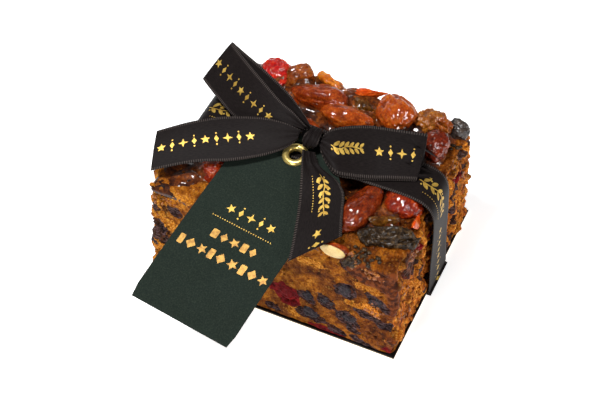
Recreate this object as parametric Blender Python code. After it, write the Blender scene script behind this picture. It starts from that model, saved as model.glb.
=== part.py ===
"""Fruit cake: a short block cut from a slab, topped with glazed fruit and nuts.

The block stands on a thin black card. A satin ribbon runs round cake and card and is tied
in a bow on top, and a gift tag hangs from the knot by its eyelet. Sizes are in millimetres
and are turned into metres when a mesh is written. X runs along the cut front face, +Y goes
to the back, +Z is up, and the origin is under the middle of the card.
"""

import math

import bmesh
import bpy
import numpy as np

MM = 0.001
GAP = 0.35

# Driving dimensions of the cake, the card and the tie.
CARD_LENGTH = 124.0
CARD_DEPTH = 97.0
CARD_THICK = 1.1
RIBBON_WIDTH = 22.0
RIBBON_THICK = 0.4
CAKE_LENGTH = 121.0
CAKE_DEPTH = 95.0
CAKE_TOP = 59.5
CAKE_TAPER = 0.965
CAKE_CUTS = 9
BAND_PINCH = 2.6
EDGE_POWER = 14.0
TAG_WIDTH = 51.0
TAG_LENGTH = 102.0
TAG_THICK = 0.6
TAG_CLIP = 13.0
EYELET_BORE = 5.6
EYELET_FLANGE = 12.0
EYELET_EDGE = 10.0

CARD_BASE_Z = RIBBON_THICK + GAP
CAKE_BASE_Z = CARD_BASE_Z + CARD_THICK + GAP

# Where the tag's eyelet is, which way the tag points, and its slope at both ends.
TAG_EYELET = (-4.1, -10.9, 68.8)
TAG_TURN = math.radians(-8.9)
TAG_SLOPE_TOP = math.radians(10.0)
TAG_SLOPE_LOW = math.radians(18.5)

# Linear colours of the materials: colour, roughness, metallic.
FINISHES = {
    "crumb": ((0.30, 0.13, 0.04), 0.75, 0.0),
    "almond": ((0.27, 0.05, 0.015), 0.15, 0.0),
    "cherry": ((0.34, 0.02, 0.01), 0.12, 0.0),
    "raisin": ((0.035, 0.015, 0.015), 0.3, 0.0),
    "peel": ((0.45, 0.15, 0.02), 0.2, 0.0),
    "date": ((0.36, 0.08, 0.015), 0.15, 0.0),
    "nut_flesh": ((0.80, 0.62, 0.36), 0.6, 0.0),
    "card_black": ((0.012, 0.012, 0.012), 0.5, 0.0),
    "satin": ((0.022, 0.017, 0.018), 0.4, 0.0),
    "tag_card": ((0.012, 0.028, 0.022), 0.7, 0.0),
    "brass": ((0.75, 0.55, 0.22), 0.2, 1.0),
}

# Every fruit and nut: shape, centre, length, width, height, turn about Z, tilt, in mm and degrees.
FRUITS = {
    # Row along the back edge.
    "cherry_back_left": ("cherry", (-37.5, 38.0, 62.5), (15.5, 15.0, 11.5), -15, 0),
    "peel_back_brown": ("peel", (-25.2, 40.4, 63.2), (13.0, 9.0, 11.5), 40, 0),
    "peel_back_gold": ("peel", (-11.0, 43.2, 62.6), (15.5, 5.5, 9.0), -18, 0),
    "almond_back": ("almond", (-12.0, 32.0, 63.4), (25.0, 11.0, 11.0), 4, 0),
    "peel_back_sliver": ("sliver", (7.2, 44.0, 62.2), (18.0, 4.5, 7.5), 20, 0),
    "prune_back": ("raisin", (8.5, 35.4, 61.0), (15.5, 10.0, 9.0), -14, 0),
    "date_back_right": ("date", (24.0, 36.5, 64.3), (18.5, 15.5, 14.0), -50, 0),
    "crumb_lump_back": ("lump", (39.6, 40.8, 61.0), (16.0, 10.0, 10.5), 20, 0),
    "peel_corner": ("lump", (48.0, 37.6, 62.8), (6.5, 5.5, 12.0), 0, 0),
    "raisin_corner": ("raisin", (53.5, 41.5, 60.3), (8.5, 7.5, 10.0), 0, 0),
    # Middle and right side of the top.
    "almond_middle": ("almond", (5.5, 25.3, 63.3), (24.0, 10.5, 11.0), 8, 0),
    "cherry_right": ("cherry", (48.8, 25.4, 63.3), (15.5, 11.5, 12.5), -85, 0),
    "raisin_right": ("raisin", (32.0, 22.5, 60.0), (12.0, 8.5, 7.0), 30, 0),
    "date_front": ("date", (32.3, -21.6, 61.8), (28.5, 11.5, 13.0), 79, 0),
    "cherry_middle": ("cherry", (26.0, 0.5, 60.0), (14.0, 11.5, 9.0), 30, 0),
    "cherry_front_right": ("cherry", (47.6, -10.8, 60.0), (18.0, 14.0, 11.2), -8, 0),
    "peel_strip_right": ("peel", (56.8, -18.6, 60.0), (8.5, 3.2, 9.0), -86, 0),
    "peel_olive": ("peel", (43.6, -24.2, 62.0), (13.0, 5.6, 8.0), 30, 0),
    "raisin_burnt": ("raisin", (48.6, -31.8, 61.0), (25.0, 8.6, 8.5), 18, 0),
    "raisin_front": ("raisin", (37.4, -44.4, 54.8), (7.5, 6.0, 7.0), 60, 0),
    "almond_cut": ("cut_almond", (29.6, -46.2, 57.8), (12.5, 7.5, 7.0), 12, 0),
    # Under the bow and the tag.
    "cherry_under_knot": ("cherry", (10.5, -2.0, 60.0), (14.5, 12.5, 9.0), 70, 0),
    "almond_under_tag": ("almond", (12.0, -21.0, 59.5), (22.5, 11.0, 8.5), 75, 0),
    "cherry_under_tag": ("cherry", (-6.0, -26.0, 59.5), (16.0, 13.0, 8.5), 20, 0),
    "almond_front": ("almond", (-1.0, -39.5, 57.3), (20.0, 9.0, 6.0), 5, 0),
    "raisin_centre": ("raisin", (-5.5, -9.0, 60.0), (10.5, 8.0, 7.0), 40, 0),
    "almond_centre": ("almond", (-8.0, 11.0, 60.5), (21.0, 11.0, 8.0), -20, 0),
    # Left part of the top.
    "cherry_left": ("cherry", (-22.5, -1.5, 60.0), (16.0, 14.0, 9.5), 40, 0),
    "almond_left": ("almond", (-27.0, 19.0, 61.0), (23.0, 11.5, 8.5), 75, 0),
    "peel_left": ("peel", (-21.5, -20.0, 59.5), (15.0, 7.0, 7.0), 100, 0),
    "date_left": ("date", (-42.5, 14.0, 60.8), (21.0, 12.0, 10.5), 100, 0),
    "cherry_left_edge": ("cherry", (-46.5, -7.5, 60.0), (15.0, 12.5, 10.0), -40, 0),
    "cherry_front_left": ("cherry", (-36.0, -28.0, 60.0), (13.0, 10.0, 9.0), 20, 0),
    "raisin_front_left": ("raisin", (-45.5, -37.0, 57.0), (11.0, 6.5, 7.0), 25, 0),
    # Fruit in the cut front face and at its left edge.
    "face_cherry": ("cherry", (7.7, -45.2, 19.0), (11.5, 7.0, 13.0), 0, 0),
    "face_raisin_1": ("raisin", (18.7, -45.8, 22.4), (7.5, 5.0, 8.5), 0, 0),
    "face_raisin_2": ("raisin", (27.9, -45.8, 24.1), (8.0, 5.0, 9.0), 0, 0),
    "face_raisin_3": ("raisin", (36.7, -45.2, 35.1), (10.0, 5.5, 12.0), 0, 0),
    "face_raisin_4": ("raisin", (20.5, -46.3, 11.4), (10.5, 5.0, 7.5), 0, 0),
    "face_raisin_5": ("raisin", (38.1, -46.2, 17.8), (10.5, 5.0, 8.5), 0, 0),
    "face_raisin_6": ("raisin", (51.6, -45.6, 34.6), (13.0, 5.0, 7.0), 0, -25),
    "face_raisin_left": ("raisin", (-58.6, -45.0, 21.0), (6.5, 6.0, 8.0), 0, 0),
}
FRUIT_FINISH = {
    "almond": "almond",
    "cherry": "cherry",
    "raisin": "raisin",
    "peel": "peel",
    "sliver": "peel",
    "date": "date",
    "lump": "crumb",
    "cut_almond": "nut_flesh",
}
FRUIT_SEGMENTS = 9
FRUIT_RINGS = 6

# Ribbon edges: pairs of points across the ribbon, upper or left edge first, from the knot outwards.
RIGHT_LOOP = [
    ((5.2, -2.4, 77.5), (5.6, -6.2, 74.0)),
    ((6.8, 0.8, 78.2), (10.0, -10.6, 72.4)),
    ((9.5, 4.6, 77.8), (16.9, -15.2, 71.4)),
    ((14.0, 8.6, 77.2), (23.8, -12.6, 69.4)),
    ((21.5, 13.0, 76.5), (31.5, -9.2, 68.5)),
    ((32.0, 16.0, 76.0), (40.5, -5.2, 68.5)),
    ((44.8, 19.4, 75.6), (48.6, -1.4, 67.9)),
]
LEFT_LOOP_FRONT = [
    ((-3.8, -0.6, 77.8), (-4.6, -3.0, 75.6)),
    ((-12.0, 3.4, 79.8), (-14.5, -6.4, 73.2)),
    ((-19.5, 6.2, 81.2), (-24.5, -6.6, 70.8)),
    ((-31.5, 13.0, 83.0), (-38.5, -1.8, 69.6)),
    ((-43.5, 20.5, 84.0), (-51.5, 6.2, 69.8)),
    ((-53.5, 27.8, 84.0), (-61.5, 12.6, 71.0)),
]
LEFT_LOOP_BACK = [
    ((-47.0, 27.0, 81.6), (-53.0, 13.4, 67.6)),
    ((-36.5, 23.2, 79.8), (-42.5, 9.4, 67.4)),
    ((-19.5, 15.0, 78.0), (-26.0, 3.8, 67.8)),
    ((-9.0, 7.4, 76.8), (-12.0, 1.8, 71.0)),
    ((-3.6, 2.4, 76.4), (-3.8, 0.8, 74.2)),
]
LEFT_TAIL = [
    ((-5.0, -3.9, 78.0), (-4.6, -7.2, 75.6)),
    ((-14.0, -3.0, 78.2), (-8.7, -12.4, 72.6)),
    ((-25.5, -3.6, 77.0), (-16.7, -19.0, 70.6)),
    ((-40.0, -8.4, 75.6), (-28.7, -26.6, 69.4)),
    ((-51.0, -14.8, 74.2), (-41.3, -31.4, 67.8)),
    ((-59.0, -20.4, 72.6), (-51.7, -37.2, 66.0)),
    ((-65.6, -25.4, 71.0), (-60.0, -42.6, 64.6)),
]
FRONT_TAIL = [
    ((-0.8, -10.8, 73.8), (4.6, -9.8, 73.6)),
    ((0.6, -15.0, 72.2), (9.0, -13.6, 70.2)),
    ((3.4, -22.0, 70.4), (18.7, -17.8, 69.8)),
    ((7.6, -33.0, 67.6), (24.2, -22.4, 68.8)),
    ((10.6, -42.4, 65.8), (26.8, -28.8, 67.2)),
    ((13.8, -54.0, 63.2), (29.0, -35.0, 65.2)),
    ((15.4, -61.4, 60.9), (31.2, -40.4, 63.0)),
]
RIGHT_LOOP_OPENING = (3.4, 1.3)
FOLD_OPENING = 1.2

# Middle line of the ribbon round cake and card: X, Y, Z and the lean of its width in degrees.
BAND_PATH = [
    (0.0, 0.0, 66.6, 0),
    (16.0, 0.0, 66.4, 0),
    (32.0, 0.2, 66.3, 0),
    (46.0, 0.4, 66.2, 1),
    (56.0, 0.0, 65.0, 2),
    (61.2, -0.8, 60.0, 3),
    (62.7, -1.2, 48.0, 3),
    (62.7, 0.8, 24.0, 1.5),
    (62.9, 3.0, 6.0, 0),
    (62.8, 3.4, 1.4, 0),
    (61.0, 3.6, 0.2, 0),
    (30.0, 3.8, 0.2, 0),
    (0.0, 4.2, 0.2, 0),
    (-30.0, 4.4, 0.2, 0),
    (-61.0, 4.4, 0.2, 0),
    (-62.9, 4.4, 1.4, 0),
    (-63.1, 4.3, 6.0, 0),
    (-62.6, 4.0, 24.0, 0),
    (-61.2, 3.4, 44.0, 0),
    (-59.0, 2.8, 55.0, 0),
    (-56.2, 2.6, 62.2, 0),
    (-51.5, 2.5, 65.6, 0),
    (-43.0, 2.0, 66.3, 0),
    (-30.0, 1.2, 66.4, 0),
    (-15.0, 0.4, 66.5, 0),
]
BAND_STEPS = 2
RIBBON_STEPS = 2

KNOT_CENTRE = (0.8, -3.4, 75.2)
KNOT_SIZE = (7.2, 12.0, 8.4)


def clear_scene():
    """Remove every object of the scene."""
    for thing in list(bpy.data.objects):
        bpy.data.objects.remove(thing, do_unlink=True)


def new_collection(name):
    group = bpy.data.collections.new(name)
    bpy.context.scene.collection.children.link(group)
    return group


def finish_material(name):
    """The Principled material of one finish."""
    found = bpy.data.materials.get(name)
    if found:
        return found
    colour, roughness, metallic = FINISHES[name]
    material = bpy.data.materials.new(name)
    material.use_nodes = True
    material.diffuse_color = (*colour, 1.0)
    shader = material.node_tree.nodes["Principled BSDF"]
    shader.inputs["Base Color"].default_value = (*colour, 1.0)
    shader.inputs["Roughness"].default_value = roughness
    shader.inputs["Metallic"].default_value = metallic
    return material


def add_object(name, mesh, finish, group):
    """Put a mesh into the model as a named piece."""
    thing = bpy.data.objects.new(name, mesh)
    group.objects.link(thing)
    thing.data.materials.append(finish_material(finish))
    return thing


def mesh_from_bmesh(name, shape):
    mesh = bpy.data.meshes.new(name)
    bmesh.ops.recalc_face_normals(shape, faces=shape.faces)
    shape.to_mesh(mesh)
    shape.free()
    return mesh


def move_vertices(shape, function):
    """Send all of a bmesh's points, as one array in mm, through a function."""
    points = np.array([vert.co[:] for vert in shape.verts])
    for vert, place in zip(shape.verts, function(points) * MM):
        vert.co = place


def smooth_path(points, count, closed=False):
    """Evenly stepped points on the Catmull-Rom curve through the given points."""
    knots = np.asarray(points, float)
    if closed:
        knots = np.vstack([knots[-1], knots, knots[0], knots[1]])
    else:
        knots = np.vstack([2 * knots[0] - knots[1], knots, 2 * knots[-1] - knots[-2]])
    spans = len(knots) - 3
    place = np.linspace(0.0, spans, count, endpoint=not closed)
    span = np.minimum(place.astype(int), spans - 1)
    t = (place - span)[:, None]
    before, start, end, after = (knots[span + step] for step in range(4))
    bend = 2 * before - 5 * start + 4 * end - after
    swing = 3 * start - 3 * end + after - before
    return 0.5 * (2 * start + (end - before) * t + bend * t**2 + swing * t**3)


def strip_mesh(name, left, right, thick, closed=False):
    """A thin closed strip between two edge lines, thickened by half each way along its normal."""
    along = np.gradient((left + right) / 2, axis=0)
    if closed:
        middle = (left + right) / 2
        along = np.roll(middle, -1, axis=0) - np.roll(middle, 1, axis=0)
    normal = np.cross(along, right - left)
    normal *= thick / 2 / np.linalg.norm(normal, axis=1)[:, None]
    rings = np.stack([left + normal, right + normal, right - normal, left - normal], axis=1)
    count = len(rings)
    shape = bmesh.new()
    verts = [[shape.verts.new(corner * MM) for corner in ring] for ring in rings]
    for row in range(count if closed else count - 1):
        here = verts[row]
        there = verts[(row + 1) % count]
        for side in range(4):
            other = (side + 1) % 4
            shape.faces.new((here[side], here[other], there[other], there[side]))
    if not closed:
        shape.faces.new(verts[0][::-1])
        shape.faces.new(verts[-1])
    return mesh_from_bmesh(name, shape)


def ribbon(name, pairs, group):
    """A length of ribbon through pairs of edge points."""
    pairs = np.asarray(pairs, float)
    count = RIBBON_STEPS * (len(pairs) - 1) + 1
    left = smooth_path(pairs[:, 0], count)
    right = smooth_path(pairs[:, 1], count)
    mesh = strip_mesh(name, left, right, RIBBON_THICK)
    return add_object(name, mesh, "satin", group)


def folded_back(pairs, opening):
    """Edge pairs of a loop: out along the pairs, round a tight fold, and back underneath."""
    front = np.asarray(pairs, float)
    run = front[-1] - front[-2]
    run /= np.linalg.norm(run, axis=1)[:, None]
    down = np.array([0.0, 0.0, -1.0])
    tip = front[-1] + run * FOLD_OPENING / 2 + down * FOLD_OPENING / 2
    back = front[::-1] + down * np.array(opening)[:, None]
    back[0] = front[-1] + down * FOLD_OPENING
    back[-1] = front[0] + down * FOLD_OPENING
    back[-2] = front[1] + down * FOLD_OPENING * 1.3
    return np.concatenate([front, tip[None], back])


def fruit_form(kind, ball, seed):
    """Turn points of a unit ball into a fruit or nut of length, width and height 2."""
    x, y, z = ball.T
    rng = np.random.default_rng(seed)
    wave = rng.uniform(0, 2 * math.pi, 6)
    lumps = np.sin(3 * x + wave[0]) * np.sin(3 * y + wave[1]) + np.sin(4 * z + wave[2] + 2 * x)
    if kind in ("almond", "cut_almond"):
        narrow = 1 - 0.28 * x
        form = np.stack([x, y * narrow, z * narrow], axis=1)
        form *= 1 + 0.02 * lumps[:, None]
        if kind == "cut_almond":
            form[:, 1] = np.maximum(form[:, 1], -0.25)
        return form
    if kind == "cherry":
        dimple = 0.16 * np.exp(-((x - 0.9) ** 2 + y**2) * 6)
        return ball * (1 + 0.03 * lumps - dimple)[:, None]
    if kind == "date":
        ridges = 0.035 * np.sin(5 * np.arctan2(z, y) + wave[3])
        return ball * (0.98 + 0.03 * lumps + ridges)[:, None]
    if kind == "sliver":
        taper = 0.62 - 0.38 * x
        return np.stack([x, y * taper, z * taper + 0.3 * x], axis=1)
    if kind == "peel":
        square = 1 / np.power(np.sum(np.abs(ball) ** 4, axis=1), 0.25)
        form = ball * square[:, None]
        form[:, 1] += 0.35 * (x**2 - 0.5)
        return form * 0.92
    return ball * (0.96 + 0.06 * lumps)[:, None]


def fruit_bmesh(name, grow):
    """One fruit in its place, its half sizes grown by a margin."""
    kind, centre, size, turn, tilt = FRUITS[name]
    shape = bmesh.new()
    bmesh.ops.create_uvsphere(shape, u_segments=FRUIT_SEGMENTS, v_segments=FRUIT_RINGS, radius=1.0)
    seed = sorted(FRUITS).index(name)
    half = np.array(size) / 2 + grow
    turn = math.radians(turn)
    tilt = math.radians(tilt)
    spin = np.array([
        [math.cos(turn), -math.sin(turn), 0.0],
        [math.sin(turn), math.cos(turn), 0.0],
        [0.0, 0.0, 1.0],
    ])
    lean = np.array([
        [math.cos(tilt), 0.0, math.sin(tilt)],
        [0.0, 1.0, 0.0],
        [-math.sin(tilt), 0.0, math.cos(tilt)],
    ])
    place = lambda ball: fruit_form(kind, ball, seed) * half @ lean.T @ spin.T + np.array(centre)
    move_vertices(shape, place)
    return shape


def make_fruits(group):
    """Every fruit and nut as a piece of its own."""
    for name, row in FRUITS.items():
        mesh = mesh_from_bmesh(name, fruit_bmesh(name, 0.0))
        mesh.shade_smooth()
        add_object(name, mesh, FRUIT_FINISH[row[0]], group)


def make_pockets(group):
    """Cutters that leave a seat with a small gap round every fruit."""
    cutters = []
    for name in FRUITS:
        mesh = mesh_from_bmesh("pocket_" + name, fruit_bmesh(name, GAP))
        cutter = bpy.data.objects.new("pocket_" + name, mesh)
        group.objects.link(cutter)
        cutter.hide_render = True
        cutter.display_type = "WIRE"
        cutters.append(cutter)
    return cutters


def cake_form(ball):
    """Points of a cube of half size 1 made into the uneven, slightly tapered block in mm."""
    reach = np.power(np.sum(np.abs(ball) ** EDGE_POWER, axis=1), 1 / EDGE_POWER)
    x, y, z = (ball / reach[:, None]).T
    height = CAKE_TOP - CAKE_BASE_Z
    up = (z + 1) / 2
    narrow = 1 - (1 - CAKE_TAPER) * up
    wavy = 0.6 * np.sin(5.1 * z + 2.3 * x + 1.7 * y) + 0.4 * np.sin(7.3 * x - 6.1 * y + 3.3 * z)
    swell = np.where(up > 0.98, 0.0, wavy * np.minimum(1.0, 3 * up))
    side = narrow[:, None] * np.stack([x, y], axis=1) * [CAKE_LENGTH / 2, CAKE_DEPTH / 2]
    side += swell[:, None] * np.stack([x, y], axis=1)
    drawn_in = BAND_PINCH * up**2 * np.exp(-(((side[:, 1] - 3.0) / 15.0) ** 2))
    side[:, 0] += np.where(x < 0, drawn_in * np.abs(x), 0.0)
    crown = 0.5 * np.sin(4.2 * x + 1.0) * np.cos(3.6 * y) * np.clip(2 * z - 1, 0, 1)
    level = CAKE_BASE_Z + height * up + crown
    return np.column_stack([side, level])


def make_cake(group, cutters):
    """The block of cake with a seat for every fruit."""
    shape = bmesh.new()
    bmesh.ops.create_cube(shape, size=2.0)
    bmesh.ops.subdivide_edges(shape, edges=shape.edges, cuts=CAKE_CUTS, use_grid_fill=True)
    move_vertices(shape, cake_form)
    mesh = mesh_from_bmesh("cake_block", shape)
    mesh.shade_smooth()
    block = add_object("cake_block", mesh, "crumb", group)
    for cutter in cutters:
        seat = block.modifiers.new("seat_" + cutter.name, "BOOLEAN")
        seat.operation = "DIFFERENCE"
        seat.solver = "MANIFOLD"
        seat.object = cutter


def make_card(group):
    """The black card under the cake, clear of the ribbon that passes below it."""
    shape = bmesh.new()
    bmesh.ops.create_cube(shape, size=1.0)
    middle = CARD_BASE_Z + CARD_THICK / 2
    size = np.array([CARD_LENGTH, CARD_DEPTH, CARD_THICK])
    move_vertices(shape, lambda cube: cube * size + [0.0, 0.0, middle])
    add_object("card_base", mesh_from_bmesh("card_base", shape), "card_black", group)


def make_band(group):
    """The ribbon round cake and card, leaning a little where it stands off the side."""
    line = np.asarray(BAND_PATH, float)
    path = smooth_path(line, BAND_STEPS * len(line), closed=True)
    path[:, 2] = np.maximum(path[:, 2], RIBBON_THICK / 2)
    lean = np.radians(path[:, 3])
    across = np.stack([np.sin(lean), -np.cos(lean), np.zeros(len(path))], axis=1)
    left = path[:, :3] - across * RIBBON_WIDTH / 2
    right = path[:, :3] + across * RIBBON_WIDTH / 2
    mesh = strip_mesh("ribbon_band", left, right, RIBBON_THICK, closed=True)
    add_object("ribbon_band", mesh, "satin", group)


def make_knot(group):
    """The wrapped knot: a short barrel pinched along its middle."""
    shape = bmesh.new()
    bmesh.ops.create_uvsphere(shape, u_segments=14, v_segments=9, radius=1.0)

    def barrel(ball):
        x, y, z = ball.T
        pleat = 1 + 0.05 * np.cos(6 * np.arctan2(z, y))
        form = np.stack([np.sign(x) * np.abs(x) ** 0.7, y * pleat, z * pleat], axis=1)
        return form * np.array(KNOT_SIZE) / 2 + KNOT_CENTRE

    move_vertices(shape, barrel)
    mesh = mesh_from_bmesh("ribbon_knot", shape)
    mesh.shade_smooth()
    add_object("ribbon_knot", mesh, "satin", group)


def tag_frame(distance):
    """A point on the tag's middle line and its up vector, at a distance down from the eyelet."""
    share = distance / (TAG_LENGTH - EYELET_EDGE)
    slope = TAG_SLOPE_TOP + (TAG_SLOPE_LOW - TAG_SLOPE_TOP) * share
    mean_slope = (TAG_SLOPE_TOP + slope) / 2
    ahead = np.array([math.sin(TAG_TURN), -math.cos(TAG_TURN)])
    flat = distance * math.cos(mean_slope)
    drop = distance * math.sin(mean_slope)
    x, y, z = TAG_EYELET
    point = np.array([x + ahead[0] * flat, y + ahead[1] * flat, z - drop])
    up = np.array([ahead[0] * math.sin(slope), ahead[1] * math.sin(slope), math.cos(slope)])
    return point, up


def make_tag(group):
    """The gift tag: a gently bent card with clipped top corners and a punched eyelet hole."""
    rows = [-EYELET_EDGE, TAG_CLIP - EYELET_EDGE]
    rows += list(np.linspace(TAG_CLIP - EYELET_EDGE, TAG_LENGTH - EYELET_EDGE, 9)[1:])
    across = np.array([math.cos(TAG_TURN), math.sin(TAG_TURN), 0.0])
    shape = bmesh.new()
    rings = []
    for number, distance in enumerate(rows):
        point, up = tag_frame(distance)
        half = TAG_WIDTH / 2 - (TAG_CLIP if number == 0 else 0.0)
        corners = [
            point - across * half + up * TAG_THICK / 2,
            point + across * half + up * TAG_THICK / 2,
            point + across * half - up * TAG_THICK / 2,
            point - across * half - up * TAG_THICK / 2,
        ]
        rings.append([shape.verts.new(corner * MM) for corner in corners])
    for here, there in zip(rings, rings[1:]):
        for side in range(4):
            other = (side + 1) % 4
            shape.faces.new((here[side], here[other], there[other], there[side]))
    shape.faces.new(rings[0][::-1])
    shape.faces.new(rings[-1])
    mesh = mesh_from_bmesh("gift_tag", shape)
    return add_object("gift_tag", mesh, "tag_card", group)


def ring_mesh(name, profile, segments):
    """A ring turned about the eyelet's axis from a closed profile of radius and height."""
    point, up = tag_frame(0.0)
    across = np.array([math.cos(TAG_TURN), math.sin(TAG_TURN), 0.0])
    ahead = np.cross(up, across)
    angles = np.linspace(0, 2 * math.pi, segments, endpoint=False)
    shape = bmesh.new()
    rings = []
    for angle in angles:
        out = across * math.cos(angle) + ahead * math.sin(angle)
        rings.append([shape.verts.new((point + out * r + up * h) * MM) for r, h in profile])
    count = len(profile)
    for number, here in enumerate(rings):
        there = rings[(number + 1) % segments]
        for side in range(count):
            other = (side + 1) % count
            shape.faces.new((here[side], here[other], there[other], there[side]))
    return mesh_from_bmesh(name, shape)


def make_eyelet(tag, group, hidden):
    """The brass eyelet, a flanged ring through the tag's hole, and the hole itself."""
    bore = EYELET_BORE / 2
    wall = 0.5
    flange = EYELET_FLANGE / 2
    face = TAG_THICK / 2 + GAP
    profile = [
        (bore, face),
        (bore + 0.5, face + 0.75),
        (flange - 1.0, face + 0.55),
        (flange, face),
        (bore + wall, face),
        (bore + wall, -face),
        (flange - 1.2, -face),
        (flange - 1.2, -face - 0.3),
        (bore, -face - 0.3),
    ]
    mesh = ring_mesh("tag_eyelet", profile, 16)
    mesh.shade_smooth()
    add_object("tag_eyelet", mesh, "brass", group)

    point, up = tag_frame(0.0)
    across = np.array([math.cos(TAG_TURN), math.sin(TAG_TURN), 0.0])
    axes = np.array([across, np.cross(up, across), up])
    hole = bore + wall + GAP
    shape = bmesh.new()
    bmesh.ops.create_cone(shape, cap_ends=True, segments=20, radius1=hole, radius2=hole, depth=4.0)
    move_vertices(shape, lambda drum: drum @ axes + point)
    cutter = bpy.data.objects.new("eyelet_hole", mesh_from_bmesh("eyelet_hole", shape))
    hidden.objects.link(cutter)
    cutter.hide_render = True
    cutter.display_type = "WIRE"
    punch = tag.modifiers.new("eyelet_hole", "BOOLEAN")
    punch.operation = "DIFFERENCE"
    punch.solver = "EXACT"
    punch.object = cutter


def make_bow(group):
    """The bow's two loops and its two tails."""
    ribbon("ribbon_loop_right", folded_back(RIGHT_LOOP, RIGHT_LOOP_OPENING), group)
    fold = np.asarray(LEFT_LOOP_FRONT[-1], float)
    run = fold - np.asarray(LEFT_LOOP_FRONT[-2], float)
    run /= np.linalg.norm(run, axis=1)[:, None]
    tip = fold + run * FOLD_OPENING / 2 + [0.3, 0.9, -0.5]
    back = fold + [0.6, 1.4, -1.4]
    pairs = [*LEFT_LOOP_FRONT, tip, back, *LEFT_LOOP_BACK]
    ribbon("ribbon_loop_left", pairs, group)
    ribbon("ribbon_tail_left", LEFT_TAIL, group)
    ribbon("ribbon_tail_front", FRONT_TAIL, group)


def main():
    clear_scene()
    group = new_collection("fruit_cake")
    hidden = new_collection("cutters")
    make_card(group)
    make_cake(group, make_pockets(hidden))
    make_fruits(group)
    make_band(group)
    make_knot(group)
    make_bow(group)
    tag = make_tag(group)
    make_eyelet(tag, group, hidden)


main()
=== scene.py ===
"""Looks of the fruit cake: crumb, crust, glaze, fruit, satin bow, gift tag, light and camera.

Shapes are worked out in millimetres as numpy arrays and turned into metres in one place,
where a mesh is made. X runs along the cut front face, +Y to the back and +Z up.
"""

import itertools
import math

import bmesh
import bpy
import numpy as np
from mathutils import Matrix, Vector


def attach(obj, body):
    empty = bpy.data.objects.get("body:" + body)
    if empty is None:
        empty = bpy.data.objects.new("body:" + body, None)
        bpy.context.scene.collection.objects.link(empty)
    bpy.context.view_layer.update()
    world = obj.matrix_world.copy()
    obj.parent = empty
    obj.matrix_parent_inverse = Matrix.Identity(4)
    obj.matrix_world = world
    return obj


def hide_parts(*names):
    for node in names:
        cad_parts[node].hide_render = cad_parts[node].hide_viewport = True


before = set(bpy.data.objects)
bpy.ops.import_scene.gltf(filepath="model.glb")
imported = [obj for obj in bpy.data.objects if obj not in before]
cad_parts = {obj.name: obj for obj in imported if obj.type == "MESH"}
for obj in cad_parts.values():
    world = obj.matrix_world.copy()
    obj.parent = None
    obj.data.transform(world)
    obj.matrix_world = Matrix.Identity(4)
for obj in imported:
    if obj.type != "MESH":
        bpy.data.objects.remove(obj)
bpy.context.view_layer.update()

MM = 0.001
TAU = 2 * math.pi

# Sizes in mm that the solids share.
RIBBON_WIDTH = 22.0
RIBBON_THICK = 0.32
TAG_WIDTH = 51.0
TAG_LENGTH = 102.0
TAG_THICK = 0.55
TAG_CLIP = 13.0
EYELET_EDGE = 10.0
EYELET_BORE = 2.8
EYELET_FLANGE = 6.0
TAG_EYELET = np.array([-4.1, -10.9, 68.8])
TAG_TURN = math.radians(-8.9)
TAG_SLOPE_TOP = math.radians(10.0)
TAG_SLOPE_LOW = math.radians(18.5)
KNOT_CENTRE = np.array([0.8, -3.4, 75.2])

# View: azimuth and elevation of the camera, its roll, distance, lens and the point it looks at.
VIEW_AZIMUTH = math.radians(23.94)
VIEW_ELEVATION = math.radians(48.69)
VIEW_ROLL = math.radians(0.71)
VIEW_DISTANCE = 694.0
VIEW_LENS = 89.4
VIEW_AIM = np.array([-5.3, -2.8, 30.0])

# Ribbon edges: pairs of points across the ribbon, from the knot outwards.
RIGHT_LOOP = [
    ((5.2, -2.4, 77.5), (5.6, -6.2, 74.0)),
    ((6.8, 0.8, 78.2), (10.0, -10.6, 72.4)),
    ((9.5, 4.6, 77.8), (16.9, -15.2, 71.4)),
    ((14.0, 8.6, 77.2), (23.8, -12.6, 69.4)),
    ((21.5, 13.0, 76.5), (31.5, -9.2, 68.5)),
    ((32.0, 16.0, 76.0), (40.5, -5.2, 68.5)),
    ((44.8, 19.4, 75.6), (48.6, -1.4, 67.9)),
]
LEFT_LOOP_FRONT = [
    ((-3.8, -0.6, 77.8), (-4.6, -3.0, 75.6)),
    ((-12.0, 3.4, 79.8), (-14.5, -6.4, 73.2)),
    ((-19.5, 6.2, 81.2), (-24.5, -6.6, 70.8)),
    ((-31.5, 13.0, 83.0), (-38.5, -1.8, 69.6)),
    ((-43.5, 20.5, 84.0), (-51.5, 6.2, 69.8)),
    ((-53.5, 27.8, 84.0), (-61.5, 12.6, 71.0)),
]
LEFT_LOOP_BACK = [
    ((-47.0, 27.0, 81.6), (-53.0, 13.4, 67.6)),
    ((-36.5, 23.2, 79.8), (-42.5, 9.4, 67.4)),
    ((-19.5, 15.0, 78.0), (-26.0, 3.8, 67.8)),
    ((-9.0, 7.4, 76.8), (-12.0, 1.8, 71.0)),
    ((-3.6, 2.4, 76.4), (-3.8, 0.8, 74.2)),
]
LEFT_TAIL = [
    ((-5.0, -3.9, 78.0), (-4.6, -7.2, 75.6)),
    ((-14.0, -3.0, 78.2), (-8.7, -12.4, 72.6)),
    ((-25.5, -3.6, 77.0), (-16.7, -19.0, 70.6)),
    ((-40.0, -8.4, 75.6), (-28.7, -26.6, 69.4)),
    ((-51.0, -14.8, 74.2), (-41.3, -31.4, 67.8)),
    ((-59.0, -20.4, 72.6), (-51.7, -37.2, 66.0)),
    ((-65.6, -25.4, 71.0), (-60.0, -42.6, 64.6)),
]
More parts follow.
